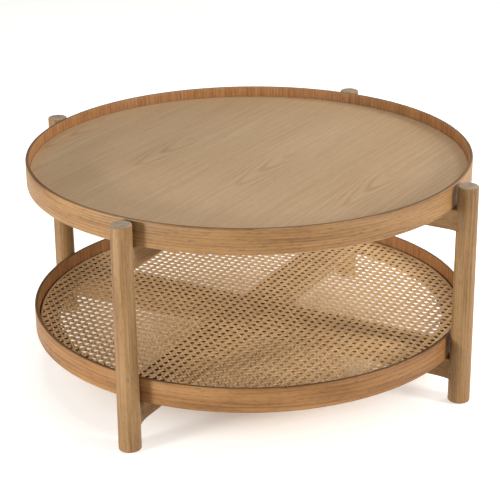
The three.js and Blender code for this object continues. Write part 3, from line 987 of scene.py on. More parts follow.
def make_veneer(name, tones, leaf_width):
    """Flat-sawn veneer: leaves side by side, each with the same nested arches, drawn faintly."""
    material, nodes, links = new_material(name)

    grain = nodes.new("ShaderNodeAttribute")
    grain.label = "Grain: along, across, into the board"
    grain.attribute_name = "grain"
    wander_scale = nodes.new("ShaderNodeMapping")
    wander_scale.label = "Long slow waves"
    wander_scale.inputs["Scale"].default_value = (4, 26, 26)
    wander = nodes.new("ShaderNodeTexNoise")
    wander.label = "How the figure wanders"
    wander.inputs["Scale"].default_value = 1.0
    wander.inputs["Detail"].default_value = 3.0
    wander_centre = nodes.new("ShaderNodeVectorMath")
    wander_centre.label = "Wander both ways"
    wander_centre.operation = "SUBTRACT"
    wander_centre.inputs[1].default_value = (0.5, 0.5, 0.5)
    wandered = nodes.new("ShaderNodeVectorMath")
    wandered.label = "Wandering grain"
    wandered.operation = "MULTIPLY_ADD"
    wandered.inputs[1].default_value = (0.0, 0.016, 0)
    links.new(grain.outputs["Vector"], wander_scale.inputs["Vector"])
    links.new(wander_scale.outputs["Vector"], wander.inputs["Vector"])
    links.new(wander.outputs["Color"], wander_centre.inputs[0])
    links.new(wander_centre.outputs["Vector"], wandered.inputs[0])
    links.new(grain.outputs["Vector"], wandered.inputs[2])

    parts = nodes.new("ShaderNodeSeparateXYZ")
    parts.label = "Wandering grain, along and across"
    whole = nodes.new("ShaderNodeSeparateXYZ")
    whole.label = "Straight grain, along and across"
    leaf = nodes.new("ShaderNodeMath")
    leaf.label = "Across one leaf"
    leaf.operation = "WRAP"
    leaf.inputs[1].default_value = leaf_width / 2
    leaf.inputs[2].default_value = -leaf_width / 2
    leaf_shift = nodes.new("ShaderNodeMath")
    leaf_shift.label = "Middle of a leaf"
    leaf_shift.operation = "ADD"
    leaf_shift.inputs[1].default_value = 0.054
    leaf_count = nodes.new("ShaderNodeMath")
    leaf_count.label = "Widths across the board"
    leaf_count.operation = "DIVIDE"
    leaf_count.inputs[1].default_value = leaf_width
    leaf_number = nodes.new("ShaderNodeMath")
    leaf_number.label = "Number of the leaf"
    leaf_number.operation = "ROUND"
    leaf_tint = nodes.new("ShaderNodeTexWhiteNoise")
    leaf_tint.label = "Each leaf has its own tone"
    leaf_tint.noise_dimensions = "1D"
    links.new(wandered.outputs["Vector"], parts.inputs["Vector"])
    links.new(grain.outputs["Vector"], whole.inputs["Vector"])
    links.new(parts.outputs["Y"], leaf_shift.inputs[0])
    links.new(leaf_shift.outputs["Value"], leaf.inputs[0])
    links.new(whole.outputs["Y"], leaf_count.inputs[0])
    links.new(leaf_count.outputs["Value"], leaf_number.inputs[0])
    links.new(leaf_number.outputs["Value"], leaf_tint.inputs["W"])

    across_square = nodes.new("ShaderNodeMath")
    across_square.label = "Distance across, squared"
    across_square.operation = "MULTIPLY"
    depth_square = nodes.new("ShaderNodeMath")
    depth_square.label = "Plus the cut's depth, squared"
    depth_square.operation = "ADD"
    depth_square.inputs[1].default_value = 0.030 ** 2
    from_heart = nodes.new("ShaderNodeMath")
    from_heart.label = "Distance from the heart"
    from_heart.operation = "SQRT"
    taper = nodes.new("ShaderNodeMath")
    taper.label = "The tree tapers along the grain"
    taper.operation = "MULTIPLY_ADD"
    taper.inputs[1].default_value = -0.07
    arches = nodes.new("ShaderNodeMath")
    arches.label = "Layers to the arch"
    arches.operation = "DIVIDE"
    arches.inputs[1].default_value = 0.0060
    arch_wave = nodes.new("ShaderNodeMath")
    arch_wave.label = "Nested arches"
    arch_wave.operation = "PINGPONG"
    arch_wave.inputs[1].default_value = 0.5
    arch_line = nodes.new("ShaderNodeMapRange")
    arch_line.label = "Faint dark lines"
    arch_line.interpolation_type = "SMOOTHSTEP"
    arch_line.inputs["From Min"].default_value = 0.22
    arch_line.inputs["From Max"].default_value = 0.5
    arch_line.inputs["To Min"].default_value = 0.0
    arch_line.inputs["To Max"].default_value = -0.33
    nose_shift = nodes.new("ShaderNodeMath")
    nose_shift.label = "Along from the noses of the arches"
    nose_shift.operation = "ADD"
    nose_shift.inputs[1].default_value = 0.05
    nose_side = nodes.new("ShaderNodeMath")
    nose_side.label = "Either way"
    nose_side.operation = "ABSOLUTE"
    nose_fade = nodes.new("ShaderNodeMapRange")
    nose_fade.label = "Arches fade into plain streaks"
    nose_fade.interpolation_type = "SMOOTHSTEP"
    nose_fade.inputs["From Min"].default_value = 0.035
    nose_fade.inputs["From Max"].default_value = 0.13
    nose_fade.inputs["To Min"].default_value = 1.0
    nose_fade.inputs["To Max"].default_value = 0.08
    near_nose = nodes.new("ShaderNodeMath")
    near_nose.label = "Near a nose"
    near_nose.operation = "MULTIPLY"
    arch_fade = nodes.new("ShaderNodeMath")
    arch_fade.label = "Arches come and go"
    arch_fade.operation = "MULTIPLY"
    links.new(leaf.outputs["Value"], across_square.inputs[0])
    links.new(leaf.outputs["Value"], across_square.inputs[1])
    links.new(across_square.outputs["Value"], depth_square.inputs[0])
    links.new(depth_square.outputs["Value"], from_heart.inputs[0])
    links.new(parts.outputs["X"], taper.inputs[0])
    links.new(from_heart.outputs["Value"], taper.inputs[2])
    links.new(taper.outputs["Value"], arches.inputs[0])
    links.new(arches.outputs["Value"], arch_wave.inputs[0])
    links.new(arch_wave.outputs["Value"], arch_line.inputs["Value"])

    streak_scale = nodes.new("ShaderNodeMapping")
    streak_scale.label = "Streaks a few millimetres wide"
    streak_scale.inputs["Scale"].default_value = (3.2, 170, 170)
    streak = nodes.new("ShaderNodeTexNoise")
    streak.label = "Long streaks"
    streak.inputs["Scale"].default_value = 1.0
    streak.inputs["Detail"].default_value = 6.0
    streak.inputs["Roughness"].default_value = 0.6
    streak_tone = nodes.new("ShaderNodeMapRange")
    streak_tone.label = "Strength of the streaks"
    streak_tone.inputs["From Min"].default_value = 0.3
    streak_tone.inputs["From Max"].default_value = 0.7
    streak_tone.inputs["To Min"].default_value = -0.17
    streak_tone.inputs["To Max"].default_value = 0.17
    broad_scale = nodes.new("ShaderNodeMapping")
    broad_scale.label = "Patches a hand wide"
    broad_scale.inputs["Scale"].default_value = (2.2, 13, 13)
    broad = nodes.new("ShaderNodeTexNoise")
    broad.label = "Broad drift of tone"
    broad.inputs["Scale"].default_value = 1.0
    broad.inputs["Detail"].default_value = 3.0
    broad_tone = nodes.new("ShaderNodeMapRange")
    broad_tone.label = "Strength of the drift"
    broad_tone.inputs["To Min"].default_value = 0.4
    broad_tone.inputs["To Max"].default_value = 0.7
    arch_mask = nodes.new("ShaderNodeMapRange")
    arch_mask.label = "Arches show best near the middle of a leaf"
    arch_mask.inputs["From Min"].default_value = 0.028
    arch_mask.inputs["From Max"].default_value = 0.075
    arch_mask.inputs["To Min"].default_value = 1.0
    arch_mask.inputs["To Max"].default_value = 0.3
    leaf_tone = nodes.new("ShaderNodeMapRange")
    leaf_tone.label = "Strength of the leaf's own tone"
    leaf_tone.inputs["To Min"].default_value = -0.04
    leaf_tone.inputs["To Max"].default_value = 0.04
    links.new(wandered.outputs["Vector"], streak_scale.inputs["Vector"])
    links.new(streak_scale.outputs["Vector"], streak.inputs["Vector"])
    links.new(streak.outputs["Fac"], streak_tone.inputs["Value"])
    links.new(grain.outputs["Vector"], broad_scale.inputs["Vector"])
    links.new(broad_scale.outputs["Vector"], broad.inputs["Vector"])
    links.new(broad.outputs["Fac"], broad_tone.inputs["Value"])
    links.new(leaf_tint.outputs["Value"], leaf_tone.inputs["Value"])
    links.new(from_heart.outputs["Value"], arch_mask.inputs["Value"])
    links.new(arch_line.outputs["Result"], arch_fade.inputs[0])
    links.new(parts.outputs["X"], nose_shift.inputs[0])
    links.new(nose_shift.outputs["Value"], nose_side.inputs[0])
    links.new(nose_side.outputs["Value"], nose_fade.inputs["Value"])
    links.new(arch_mask.outputs["Result"], near_nose.inputs[0])
    links.new(nose_fade.outputs["Result"], near_nose.inputs[1])
    links.new(near_nose.outputs["Value"], arch_fade.inputs[1])

    with_arches = nodes.new("ShaderNodeMath")
    with_arches.label = "Drift and arches"
    with_arches.operation = "ADD"
    with_streaks = nodes.new("ShaderNodeMath")
    with_streaks.label = "And streaks"
    with_streaks.operation = "ADD"
    with_leaf = nodes.new("ShaderNodeMath")
    with_leaf.label = "And the leaf's tone"
    with_leaf.operation = "ADD"
    colour = nodes.new("ShaderNodeValToRGB")
    colour.label = "Veneer colours, dark to light"
    colour.color_ramp.elements[0].color = (*tones[0], 1)
    colour.color_ramp.elements[0].position = 0.05
    colour.color_ramp.elements[1].color = (*tones[2], 1)
    colour.color_ramp.elements[1].position = 0.95
    middle = colour.color_ramp.elements.new(0.5)
    middle.color = (*tones[1], 1)
    links.new(broad_tone.outputs["Result"], with_arches.inputs[0])
    links.new(arch_fade.outputs["Value"], with_arches.inputs[1])
    links.new(with_arches.outputs["Value"], with_streaks.inputs[0])
    links.new(streak_tone.outputs["Result"], with_streaks.inputs[1])
    links.new(with_streaks.outputs["Value"], with_leaf.inputs[0])
    links.new(leaf_tone.outputs["Result"], with_leaf.inputs[1])
    links.new(with_leaf.outputs["Value"], colour.inputs["Fac"])

    pore_scale = nodes.new("ShaderNodeMapping")
    pore_scale.label = "Fine pores"
    pore_scale.inputs["Scale"].default_value = (60, 1100, 1100)
    pore = nodes.new("ShaderNodeTexNoise")
    pore.label = "Pores"
    pore.inputs["Scale"].default_value = 1.0
    pore.inputs["Detail"].default_value = 2.0
    pore_mask = nodes.new("ShaderNodeMapRange")
    pore_mask.label = "Only the deepest show"
    pore_mask.inputs["From Min"].default_value = 0.56
    pore_mask.inputs["From Max"].default_value = 0.72
    pore_mask.inputs["To Max"].default_value = 0.35
    pored = nodes.new("ShaderNodeMix")
    pored.label = "Dark pores"
    pored.data_type = "RGBA"
    pored.blend_type = "MULTIPLY"
    pored.inputs["B"].default_value = (0.45, 0.36, 0.28, 1)
    links.new(wandered.outputs["Vector"], pore_scale.inputs["Vector"])
    links.new(pore_scale.outputs["Vector"], pore.inputs["Vector"])
    links.new(pore.outputs["Fac"], pore_mask.inputs["Value"])
    links.new(pore_mask.outputs["Result"], pored.inputs["Factor"])
    links.new(colour.outputs["Color"], pored.inputs["A"])

    sheen = nodes.new("ShaderNodeMapRange")
    sheen.label = "Uneven sheen of the lacquer"
    sheen.inputs["To Min"].default_value = 0.52
    sheen.inputs["To Max"].default_value = 0.38
    bump = nodes.new("ShaderNodeBump")
    bump.label = "Fine open grain"
    bump.invert = True
    bump.inputs["Strength"].default_value = 0.3
    bump.inputs["Distance"].default_value = 0.00015
    links.new(streak.outputs["Fac"], sheen.inputs["Value"])
    links.new(pore_mask.outputs["Result"], bump.inputs["Height"])

    shader = nodes.new("ShaderNodeBsdfPrincipled")
    shader.label = "Satin lacquered veneer"
    shader.inputs["Specular IOR Level"].default_value = 0.25
    output = nodes.new("ShaderNodeOutputMaterial")
    links.new(pored.outputs["Result"], shader.inputs["Base Color"])
    links.new(sheen.outputs["Result"], shader.inputs["Roughness"])
    links.new(bump.outputs["Normal"], shader.inputs["Normal"])
    links.new(shader.outputs["BSDF"], output.inputs["Surface"])
    frame_up(nodes, (
        ("Grain coordinates", (grain, whole, parts)),
        ("Wander", (wander_scale, wander, wander_centre, wandered)),
        ("Leaves", (leaf_shift, leaf, leaf_count, leaf_number, leaf_tint, leaf_tone)),
        ("Arches", (across_square, depth_square, from_heart, taper, arches, arch_wave, arch_line)),
        ("Where the arches show", (nose_shift, nose_side, nose_fade, arch_mask, near_nose, arch_fade)),
        ("Streaks", (streak_scale, streak, streak_tone)),
        ("Broad tone", (broad_scale, broad, broad_tone)),
        ("Colour", (with_arches, with_streaks, with_leaf, colour)),
        ("Pores", (pore_scale, pore, pore_mask, pored)),
        ("Surface", (sheen, bump)),
        ("Result", (shader, output))))
    return material


def make_end_grain(name, dark, light):
    """Sawn and sealed end grain: growth arcs, rays and pin holes on greyed wood."""
    material, nodes, links = new_material(name)

    grain = nodes.new("ShaderNodeAttribute")
    grain.label = "Grain: along, across, into the wood"
    grain.attribute_name = "grain"
    ring_place = nodes.new("ShaderNodeMapping")
    ring_place.label = "Heart of the tree, off to one side"
    ring_place.inputs["Location"].default_value = (0, 0.061, 0.043)
    ring_wave = nodes.new("ShaderNodeTexWave")
    ring_wave.label = "Growth arcs"
    ring_wave.wave_type = "RINGS"
    ring_wave.rings_direction = "X"
    ring_wave.inputs["Scale"].default_value = math.pi / 10 / 0.0034
    ring_wave.inputs["Distortion"].default_value = 1.0
    ring_wave.inputs["Detail Scale"].default_value = 0.8
    speck = nodes.new("ShaderNodeTexNoise")
    speck.label = "Cut pores"
    speck.inputs["Scale"].default_value = 1500
    speck.inputs["Detail"].default_value = 2.0
    blotch = nodes.new("ShaderNodeTexNoise")
    blotch.label = "Sealer soaked in unevenly"
    blotch.inputs["Scale"].default_value = 90
    tone = nodes.new("ShaderNodeMath")
    tone.label = "Arcs and blotches"
    tone.operation = "MULTIPLY_ADD"
    tone.inputs[1].default_value = 0.35
    colour = nodes.new("ShaderNodeValToRGB")
    colour.label = "Greyed wood, dark to light"
    colour.color_ramp.elements[0].color = (*dark, 1)
    colour.color_ramp.elements[0].position = 0.3
    colour.color_ramp.elements[1].color = (*light, 1)
    colour.color_ramp.elements[1].position = 0.95
    speck_mask = nodes.new("ShaderNodeMapRange")
    speck_mask.label = "Only the largest pores"
    speck_mask.inputs["From Min"].default_value = 0.52
    speck_mask.inputs["From Max"].default_value = 0.68
    speck_mask.inputs["To Max"].default_value = 0.55
    pored = nodes.new("ShaderNodeMix")
    pored.label = "Dark pin holes"
    pored.data_type = "RGBA"
    pored.blend_type = "MULTIPLY"
    pored.inputs["B"].default_value = (0.3, 0.25, 0.2, 1)
    bump = nodes.new("ShaderNodeBump")
    bump.label = "Rough sawn end"
    bump.invert = True
    bump.inputs["Strength"].default_value = 0.4
    bump.inputs["Distance"].default_value = 0.0002
    links.new(grain.outputs["Vector"], ring_place.inputs["Vector"])
    links.new(ring_place.outputs["Vector"], ring_wave.inputs["Vector"])
    links.new(grain.outputs["Vector"], speck.inputs["Vector"])
    links.new(grain.outputs["Vector"], blotch.inputs["Vector"])
    links.new(ring_wave.outputs["Fac"], tone.inputs[0])
    links.new(blotch.outputs["Fac"], tone.inputs[2])
    links.new(tone.outputs["Value"], colour.inputs["Fac"])
    links.new(speck.outputs["Fac"], speck_mask.inputs["Value"])
    links.new(speck_mask.outputs["Result"], pored.inputs["Factor"])
    links.new(colour.outputs["Color"], pored.inputs["A"])
    links.new(speck_mask.outputs["Result"], bump.inputs["Height"])

    shader = nodes.new("ShaderNodeBsdfPrincipled")
    shader.label = "Sealed end grain"
    shader.inputs["Roughness"].default_value = 0.62
    output = nodes.new("ShaderNodeOutputMaterial")
    links.new(pored.outputs["Result"], shader.inputs["Base Color"])
    links.new(bump.outputs["Normal"], shader.inputs["Normal"])
    links.new(shader.outputs["BSDF"], output.inputs["Surface"])
    frame_up(nodes, (
        ("Grain coordinates", (grain, ring_place)),
        ("Arcs and pores", (ring_wave, speck, blotch)),
        ("Colour", (tone, colour, speck_mask, pored)),
        ("Surface", (bump, shader, output))))
    return material


def make_cane(name, dark, light):
    """Split cane: a glossy skin, each strand with its own tone, freckles and darker edges."""
    material, nodes, links = new_material(name)

    strand = nodes.new("ShaderNodeAttribute")
    strand.label = "Strand: along, across, its own number"
    strand.attribute_name = "strand"
    parts = nodes.new("ShaderNodeSeparateXYZ")
    parts.label = "Along, across and number"
    links.new(strand.outputs["Vector"], parts.inputs["Vector"])

    patch_scale = nodes.new("ShaderNodeMapping")
    patch_scale.label = "Patches a finger long"
    patch_scale.inputs["Scale"].default_value = (22, 0.4, 60)
    patch = nodes.new("ShaderNodeTexNoise")
    patch.label = "Tone along a strand"
    patch.inputs["Scale"].default_value = 1.0
    patch.inputs["Detail"].default_value = 3.0
    patch_tone = nodes.new("ShaderNodeMapRange")
    patch_tone.label = "Strength of the patches"
    patch_tone.inputs["From Min"].default_value = 0.25
    patch_tone.inputs["From Max"].default_value = 0.75
    patch_tone.inputs["To Min"].default_value = 0.1
    patch_tone.inputs["To Max"].default_value = 0.7
    own_tone = nodes.new("ShaderNodeMath")
    own_tone.label = "And the strand's own tone"
    own_tone.operation = "MULTIPLY_ADD"
    own_tone.inputs[1].default_value = 0.35
    links.new(strand.outputs["Vector"], patch_scale.inputs["Vector"])
    links.new(patch_scale.outputs["Vector"], patch.inputs["Vector"])
    links.new(patch.outputs["Fac"], patch_tone.inputs["Value"])
    links.new(parts.outputs["Z"], own_tone.inputs[0])
    links.new(patch_tone.outputs["Result"], own_tone.inputs[2])

    colour = nodes.new("ShaderNodeValToRGB")
    colour.label = "Cane colours, dark to light"
    colour.color_ramp.elements[0].color = (*dark, 1)
    colour.color_ramp.elements[0].position = 0.05
    colour.color_ramp.elements[1].color = (*light, 1)
    colour.color_ramp.elements[1].position = 0.95
    links.new(own_tone.outputs["Value"], colour.inputs["Fac"])

    edge = nodes.new("ShaderNodeMath")
    edge.label = "How near the strand's edge"
    edge.operation = "ABSOLUTE"
    edge_mask = nodes.new("ShaderNodeMapRange")
    edge_mask.label = "Split edges"
    edge_mask.inputs["From Min"].default_value = 0.55
    edge_mask.inputs["From Max"].default_value = 1.0
    edge_mask.inputs["To Max"].default_value = 0.6
    edged = nodes.new("ShaderNodeMix")
    edged.label = "Darker split edges"
    edged.data_type = "RGBA"
    edged.blend_type = "MULTIPLY"
    edged.inputs["B"].default_value = (0.62, 0.5, 0.38, 1)
    links.new(parts.outputs["Y"], edge.inputs[0])
    links.new(edge.outputs["Value"], edge_mask.inputs["Value"])
    links.new(edge_mask.outputs["Result"], edged.inputs["Factor"])
    links.new(colour.outputs["Color"], edged.inputs["A"])

    fibre_scale = nodes.new("ShaderNodeMapping")
    fibre_scale.label = "Fibres along the strand"
    fibre_scale.inputs["Scale"].default_value = (160, 7, 900)
    fibre = nodes.new("ShaderNodeTexNoise")
    fibre.label = "Fibres and freckles"
    fibre.inputs["Scale"].default_value = 1.0
    fibre.inputs["Detail"].default_value = 3.0
    freckle = nodes.new("ShaderNodeMapRange")
    freckle.label = "Brown freckles"
    freckle.inputs["From Min"].default_value = 0.60
    freckle.inputs["From Max"].default_value = 0.74
    freckle.inputs["To Max"].default_value = 0.5
    freckled = nodes.new("ShaderNodeMix")
    freckled.label = "Freckled skin"
    freckled.data_type = "RGBA"
    freckled.blend_type = "MULTIPLY"
    freckled.inputs["B"].default_value = (0.6, 0.42, 0.27, 1)
    links.new(strand.outputs["Vector"], fibre_scale.inputs["Vector"])
    links.new(fibre_scale.outputs["Vector"], fibre.inputs["Vector"])
    links.new(fibre.outputs["Fac"], freckle.inputs["Value"])
    links.new(freckle.outputs["Result"], freckled.inputs["Factor"])
    links.new(edged.outputs["Result"], freckled.inputs["A"])

    sheen = nodes.new("ShaderNodeMapRange")
    sheen.label = "Glossy skin, dull fibres"
    sheen.inputs["To Min"].default_value = 0.34
    sheen.inputs["To Max"].default_value = 0.56
    bump = nodes.new("ShaderNodeBump")
    bump.label = "Ridged fibres"
    bump.inputs["Strength"].default_value = 0.3
    bump.inputs["Distance"].default_value = 0.0002
    links.new(fibre.outputs["Fac"], sheen.inputs["Value"])
    links.new(fibre.outputs["Fac"], bump.inputs["Height"])

    shader = nodes.new("ShaderNodeBsdfPrincipled")
    shader.label = "Split cane"
    shader.inputs["Specular IOR Level"].default_value = 0.5
    output = nodes.new("ShaderNodeOutputMaterial")
    links.new(freckled.outputs["Result"], shader.inputs["Base Color"])
    links.new(sheen.outputs["Result"], shader.inputs["Roughness"])
    links.new(bump.outputs["Normal"], shader.inputs["Normal"])
    links.new(shader.outputs["BSDF"], output.inputs["Surface"])
    frame_up(nodes, (
        ("Strand coordinates", (strand, parts)),
        ("Tone", (patch_scale, patch, patch_tone, own_tone, colour)),
        ("Split edges", (edge, edge_mask, edged)),
        ("Fibres and freckles", (fibre_scale, fibre, freckle, freckled)),
        ("Surface", (sheen, bump)),
        ("Result", (shader, output))))
    return material


def make_hardware(name, base, metallic, roughness, mottle_scale, bump_strength):
    """Plated steel or moulded nylon: a mottled tone, uneven gloss and fine surface grain."""
    material, nodes, links = new_material(name)

    place = nodes.new("ShaderNodeTexCoord")
    place.label = "Place on the piece"
    mottle = nodes.new("ShaderNodeTexNoise")
    mottle.label = "Mottled surface"
    mottle.inputs["Scale"].default_value = mottle_scale
    mottle.inputs["Detail"].default_value = 4.0
    tone = nodes.new("ShaderNodeMapRange")
    tone.label = "Lighter and darker spots"
    tone.inputs["To Min"].default_value = 0.72
    tone.inputs["To Max"].default_value = 1.2
    colour = nodes.new("ShaderNodeMix")
    colour.label = "Colour with its spots"
    colour.data_type = "RGBA"
    colour.blend_type = "MULTIPLY"
    colour.inputs["Factor"].default_value = 1.0
    colour.inputs["A"].default_value = (*base, 1)
    gloss = nodes.new("ShaderNodeMapRange")
    gloss.label = "Uneven gloss"
    gloss.inputs["To Min"].default_value = roughness - 0.1
    gloss.inputs["To Max"].default_value = roughness + 0.14
    grit = nodes.new("ShaderNodeTexNoise")
    grit.label = "Fine grain"
    grit.inputs["Scale"].default_value = mottle_scale * 7
    bump = nodes.new("ShaderNodeBump")
    bump.label = "Surface grain"
    bump.inputs["Strength"].default_value = bump_strength
    bump.inputs["Distance"].default_value = 0.0001
    shader = nodes.new("ShaderNodeBsdfPrincipled")
    shader.label = name
    shader.inputs["Metallic"].default_value = metallic
    output = nodes.new("ShaderNodeOutputMaterial")
    links.new(place.outputs["Object"], mottle.inputs["Vector"])
    links.new(place.outputs["Object"], grit.inputs["Vector"])
    links.new(mottle.outputs["Fac"], tone.inputs["Value"])
    links.new(tone.outputs["Result"], colour.inputs["B"])
    links.new(mottle.outputs["Fac"], gloss.inputs["Value"])
    links.new(grit.outputs["Fac"], bump.inputs["Height"])
    links.new(colour.outputs["Result"], shader.inputs["Base Color"])
    links.new(gloss.outputs["Result"], shader.inputs["Roughness"])
    links.new(bump.outputs["Normal"], shader.inputs["Normal"])
    links.new(shader.outputs["BSDF"], output.inputs["Surface"])
    frame_up(nodes, (
        ("Place", (place, mottle, grit)),
        ("Colour", (tone, colour)),
        ("Surface", (gloss, bump)),
        ("Result", (shader, output))))
    return material


def make_raw_dowel(name, dark, light):
    """Raw beech of the hidden dowels, on the frame's own meshes."""
    material, nodes, links = new_material(name)
    place = nodes.new("ShaderNodeTexCoord")
    place.label = "Place on the table"
    flecks = nodes.new("ShaderNodeTexNoise")
    flecks.label = "Beech flecks"
    flecks.inputs["Scale"].default_value = 700
    flecks.inputs["Detail"].default_value = 3.0
    colour = nodes.new("ShaderNodeValToRGB")
    colour.label = "Raw wood, dark to light"
    colour.color_ramp.elements[0].color = (*dark, 1)
    colour.color_ramp.elements[0].position = 0.3
    colour.color_ramp.elements[1].color = (*light, 1)
    colour.color_ramp.elements[1].position = 0.7
    bump = nodes.new("ShaderNodeBump")
    bump.label = "Raw fibre"
    bump.inputs["Strength"].default_value = 0.4
    bump.inputs["Distance"].default_value = 0.0002
    shader = nodes.new("ShaderNodeBsdfPrincipled")
    shader.label = "Raw wood"
    shader.inputs["Roughness"].default_value = 0.75
    output = nodes.new("ShaderNodeOutputMaterial")
    links.new(place.outputs["Object"], flecks.inputs["Vector"])
    links.new(flecks.outputs["Fac"], colour.inputs["Fac"])
    links.new(flecks.outputs["Fac"], bump.inputs["Height"])
    links.new(colour.outputs["Color"], shader.inputs["Base Color"])
    links.new(bump.outputs["Normal"], shader.inputs["Normal"])
    links.new(shader.outputs["BSDF"], output.inputs["Surface"])
    frame_up(nodes, (
        ("Place", (place, flecks)),
        ("Colour", (colour, bump)),
        ("Result", (shader, output))))
    return material


def make_floor(name, base, shade, glow):
    """Studio paper that glows white in the open; under the table the glow fades out and its colour is
    darkened to tan, painted shade that shows through the cane.
    """
    material, nodes, links = new_material(name)
    place = nodes.new("ShaderNodeTexCoord")
    place.label = "Place on the floor"
    tooth = nodes.new("ShaderNodeTexNoise")
    tooth.label = "Paper tooth"
    tooth.inputs["Scale"].default_value = 900
    distance = nodes.new("ShaderNodeVectorMath")
    distance.label = "Distance from the table's middle"
    distance.operation = "LENGTH"
    # Painted shade: under the table the glow fades out and the colour turns to the tan shade colour.
    fade = nodes.new("ShaderNodeMapRange")
    fade.label = "Glow faded out under the table as painted shade"
    fade.interpolation_type = "SMOOTHSTEP"
    fade.inputs["From Min"].default_value = 0.15
    fade.inputs["From Max"].default_value = 0.37
    fade.inputs["To Max"].default_value = glow
    open_floor = nodes.new("ShaderNodeMapRange")
    open_floor.label = "How open the floor is"
    open_floor.inputs["From Min"].default_value = 0.15
    open_floor.inputs["From Max"].default_value = 0.37
    tint = nodes.new("ShaderNodeMix")
    tint.label = "Painted shade: tan under the table"
    tint.data_type = "RGBA"
    tint.inputs["A"].default_value = (*shade, 1)
    tint.inputs["B"].default_value = (*base, 1)
    bump = nodes.new("ShaderNodeBump")
    bump.label = "Matt paper"
    bump.inputs["Strength"].default_value = 0.05
    bump.inputs["Distance"].default_value = 0.0001
    shader = nodes.new("ShaderNodeBsdfPrincipled")
    shader.label = "Studio paper"
    shader.inputs["Roughness"].default_value = 0.9
    shader.inputs["Specular IOR Level"].default_value = 0.1
    shader.inputs["Emission Color"].default_value = (*base, 1)
    output = nodes.new("ShaderNodeOutputMaterial")
    links.new(place.outputs["Object"], tooth.inputs["Vector"])
    links.new(place.outputs["Object"], distance.inputs[0])
    links.new(distance.outputs["Value"], fade.inputs["Value"])
    links.new(fade.outputs["Result"], shader.inputs["Emission Strength"])
    links.new(distance.outputs["Value"], open_floor.inputs["Value"])
    links.new(open_floor.outputs["Result"], tint.inputs["Factor"])
    links.new(tint.outputs["Result"], shader.inputs["Base Color"])
    links.new(tooth.outputs["Fac"], bump.inputs["Height"])
    links.new(bump.outputs["Normal"], shader.inputs["Normal"])
    links.new(shader.outputs["BSDF"], output.inputs["Surface"])
    frame_up(nodes, (
        ("Paper", (place, tooth, bump)),
        ("Glow", (distance, fade, open_floor, tint)),
        ("Result", (shader, output))))
    return material


# ---------------------------------------------------------------- lights

LIGHTS_AIM = Vector((0, 0, 0.25))

def add_softbox(name, place, width, power):
    """A round soft box that faces the table."""
    light = bpy.data.lights.new(name, "AREA")
    light.shape = "DISK"
    light.size = width
    light.energy = power
    softbox = add_object(name, light)
    softbox.location = place
    softbox.rotation_euler = (LIGHTS_AIM - softbox.location).to_track_quat("-Z", "Y").to_euler()


# ---------------------------------------------------------------- operators

class TABLE_OT_trays(bpy.types.Operator):
    """Make both bent hoops, the veneered board and the frames under the board and the cane"""
    bl_idname = "coffee_table.make_trays"
    bl_label = "Make the trays"

    def execute(self, context):
        sizes = context.scene.table_trays
        inside = make_timber(
            "hoop_inside", LINING_TONES, (0.006, 0.12), 0.5, 0.8, 0.55, drift=0.2, swap_grain=True)
        edge = make_timber("hoop_edge", EDGE_TONES, (0.004, 0.2), 0.4, 0.5, 0.6)
        for number, tray in enumerate(TRAYS):
            outside = make_timber(f"{tray}_hoop_outside", HOOP_TONES[tray], (0.004, 0.28), 0.42, 0.75, 0.5)
            shift = (0.9 * number, 0.05, 0)
            hoop = make_hoop(f"{tray}_bent_hoop", f"{tray}_rim", sizes, [outside, inside, edge], shift)
            material_slots(hoop, is_hoop_inside, 1)
            material_slots(hoop, is_hoop_edge, 2)
        make_board(sizes, make_veneer("board_veneer", VENEER_TONES, 207 * MM))
        # Painted shade: the frame and battens are darker than the rails, standing in for the shade under the
        # cane.
        frame_timber_with_painted_shade = make_timber("frame_timber_with_painted_shade", FRAME_TONES_WITH_PAINTED_SHADE, (0.006, 0.3), 0.4, 0.5, 0.62)
        for tray in TRAYS:
            for quarter in range(4):
                make_frame_segment(tray, quarter, sizes, frame_timber_with_painted_shade)
            for letter in RAIL_TURNS:
                make_batten(tray, letter, sizes, frame_timber_with_painted_shade)
        return {"FINISHED"}


class TABLE_OT_legs(bpy.types.Operator):
    """Make the four turned legs with their end grain"""
    bl_idname = "coffee_table.make_legs"
    bl_label = "Make the legs"

    def execute(self, context):
        timber = make_timber("leg_timber", LEG_TONES, (0.0045, 0.26), 0.38, 0.6, 0.5)
        end_grain = make_end_grain("leg_end_grain", END_TONES[0], END_TONES[1])
        for corner in CORNERS:
            make_leg(corner, context.scene.table_legs, [timber, end_grain])
        return {"FINISHED"}


class TABLE_OT_rails(bpy.types.Operator):
    """Make the two pairs of crossed rails"""
    bl_idname = "coffee_table.make_rails"
    bl_label = "Make the rails"

    def execute(self, context):
        timber = make_timber("rail_timber", RAIL_TONES, (0.005, 0.3), 0.4, 0.6, 0.52)
        for level in LEVELS:
            for letter in RAIL_TURNS:
                make_rail(level, letter, context.scene.table_legs, timber)
        return {"FINISHED"}


class TABLE_OT_cane(bpy.types.Operator):
    """Weave the cane shelf and lay its cord round the edge"""
    bl_idname = "coffee_table.weave_cane"
    bl_label = "Weave the cane"

    def execute(self, context):
        make_webbing(context.scene.table_cane, make_cane("split_cane", *CANE_TONES))
        make_spline(make_timber("reed_cord", REED_TONES, (0.003, 0.1), 0.5, 0.4, 0.55))
        return {"FINISHED"}


